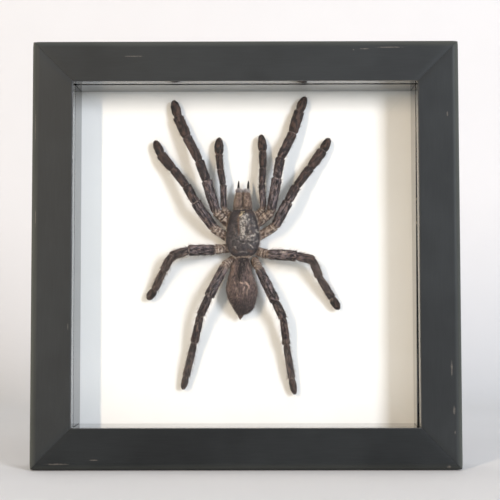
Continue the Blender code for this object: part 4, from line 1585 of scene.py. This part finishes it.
def makeSpinneret(side, make):
    angles = np.arange(make["sides"]) * 2 * math.pi / make["sides"]
    foot, tip, length, thick = make[side]
    rings = []
    for i in range(make["rings"]):
        share = i / (make["rings"] - 1)
        z = make["start"] - length * share
        joints = 0.10 * math.cos(share * 3 * 2 * math.pi)
        radius = thick * (1 - 0.7 * share + joints * 0.5) * (1 - share ** 6) ** 0.5 + 0.04
        x = bodyAxis + foot + (tip - foot) * share
        height = 5.0 - 1.0 * share + radius * np.sin(angles)
        rings.append(onCard(x + radius * np.cos(angles), height, np.full_like(angles, z)))
    rings = np.array(rings)
    plain = np.full(rings.shape[:2], 0.25)
    mesh = skin("spinneret_" + side, rings, {"side": plain, "foot": plain * 0})
    addPiece("spinneret_skin_" + side, mesh, jawSkin, ("spinneret_" + side,))
    furBody("spinneret_hair_" + side, rings, -1.0, bodyCoats["spinneret_hair"], brownHair)


for side, sign in (("left", -1), ("right", 1)):
    makeJaw(side, sign, jaws)
    makeFang(side, sign, fangs)
    makeSpinneret(side, spinners)
print("jaws, fangs and spinnerets done")


studio = {  # lengths in metres
    "floor": tint(222, 224, 224),
    "floorDrift": tint(214, 215, 214),
    "floorReach": 2.6,
    "wallAt": 0.42,
    "wallRadius": 0.25,
    "clearance": 0.0004,  # the floor lies this far under the frame
    "air": 0.37,
    "airColour": (0.95, 0.97, 1.0, 1.0),
}
lamps = {
    # metres from the frame's middle: across, towards the camera, up; size, power, colour
    "left": {
        "spot": (-0.962, 1.881, 0.62), "size": (0.0825, 0.93),
        "power": 27.4, "colour": (1.0, 0.77, 0.57),
    },
    "right": {
        "spot": (1.332, 1.941, 0.60), "size": (0.54, 0.93),
        "power": 53.5, "colour": (0.86, 0.87, 0.97),
    },
    "top": {
        "spot": (0.0, 0.9, 1.5), "size": (1.0, 0.6),
        "power": 4.0, "colour": (1.0, 1.0, 1.0),
    },
}


def floorFinish(make):
    f = Finish("studio floor")
    drift = f.cloud(90, (1, 1, 1), 3.0)
    colour = f.mix(drift * 0.5, make["floor"], make["floorDrift"])
    return f.body(Base_Color=colour, Roughness=0.85, Normal=f.bump(f.cloud(3.0), 0.05, 0.3))


def makeStage(make):
    reach, wallAt, radius = make["floorReach"], make["wallAt"], make["wallRadius"]
    profile = [(-reach, 0.0), (0.0, 0.0), (wallAt, 0.0)]
    for i in range(1, 13):
        angle = math.pi / 2 * i / 12
        profile.append((wallAt + radius * math.sin(angle), radius * (1 - math.cos(angle))))
    profile.append((wallAt + radius, reach))
    points = [(x, y, z - make["clearance"]) for x in (-reach, reach) for y, z in profile]
    count = len(profile)
    faces = [(i, count + i, count + i + 1, i + 1) for i in range(count - 1)]
    mesh = bpy.data.meshes.new("stage")
    mesh.from_pydata(points, [], faces)
    mesh.shade_smooth()
    mesh.materials.append(floorFinish(make))
    stage = bpy.data.objects.new("stage", mesh)
    bpy.context.scene.collection.objects.link(stage)


def makeLamp(name, setup):
    data = bpy.data.lights.new(name, "AREA")
    data.shape = "RECTANGLE"
    data.size, data.size_y = setup["size"]
    data.energy = setup["power"]
    data.color = setup["colour"]
    lamp = bpy.data.objects.new(name, data)
    bpy.context.scene.collection.objects.link(lamp)
    x, towards, up = setup["spot"]
    middle = Vector((0, 0, frameHalf * mm))
    lamp.location = middle + Vector((x, -towards, up))
    aim = middle - lamp.location
    if name != "lamp_top":
        aim.z = 0  # the side lamps stand upright
    lamp.rotation_mode = "QUATERNION"
    lamp.rotation_quaternion = aim.to_track_quat("-Z", "Y")


makeStage(studio)
for name, setup in lamps.items():
    makeLamp("lamp_" + name, setup)
world = bpy.data.worlds.new("studio air")
world.use_nodes = True
background = world.node_tree.nodes["Background"]
background.inputs["Color"].default_value = studio["airColour"]
background.inputs["Strength"].default_value = studio["air"]
bpy.context.scene.world = world
bpy.context.scene.view_settings.view_transform = "Standard"
print("stage and light done")
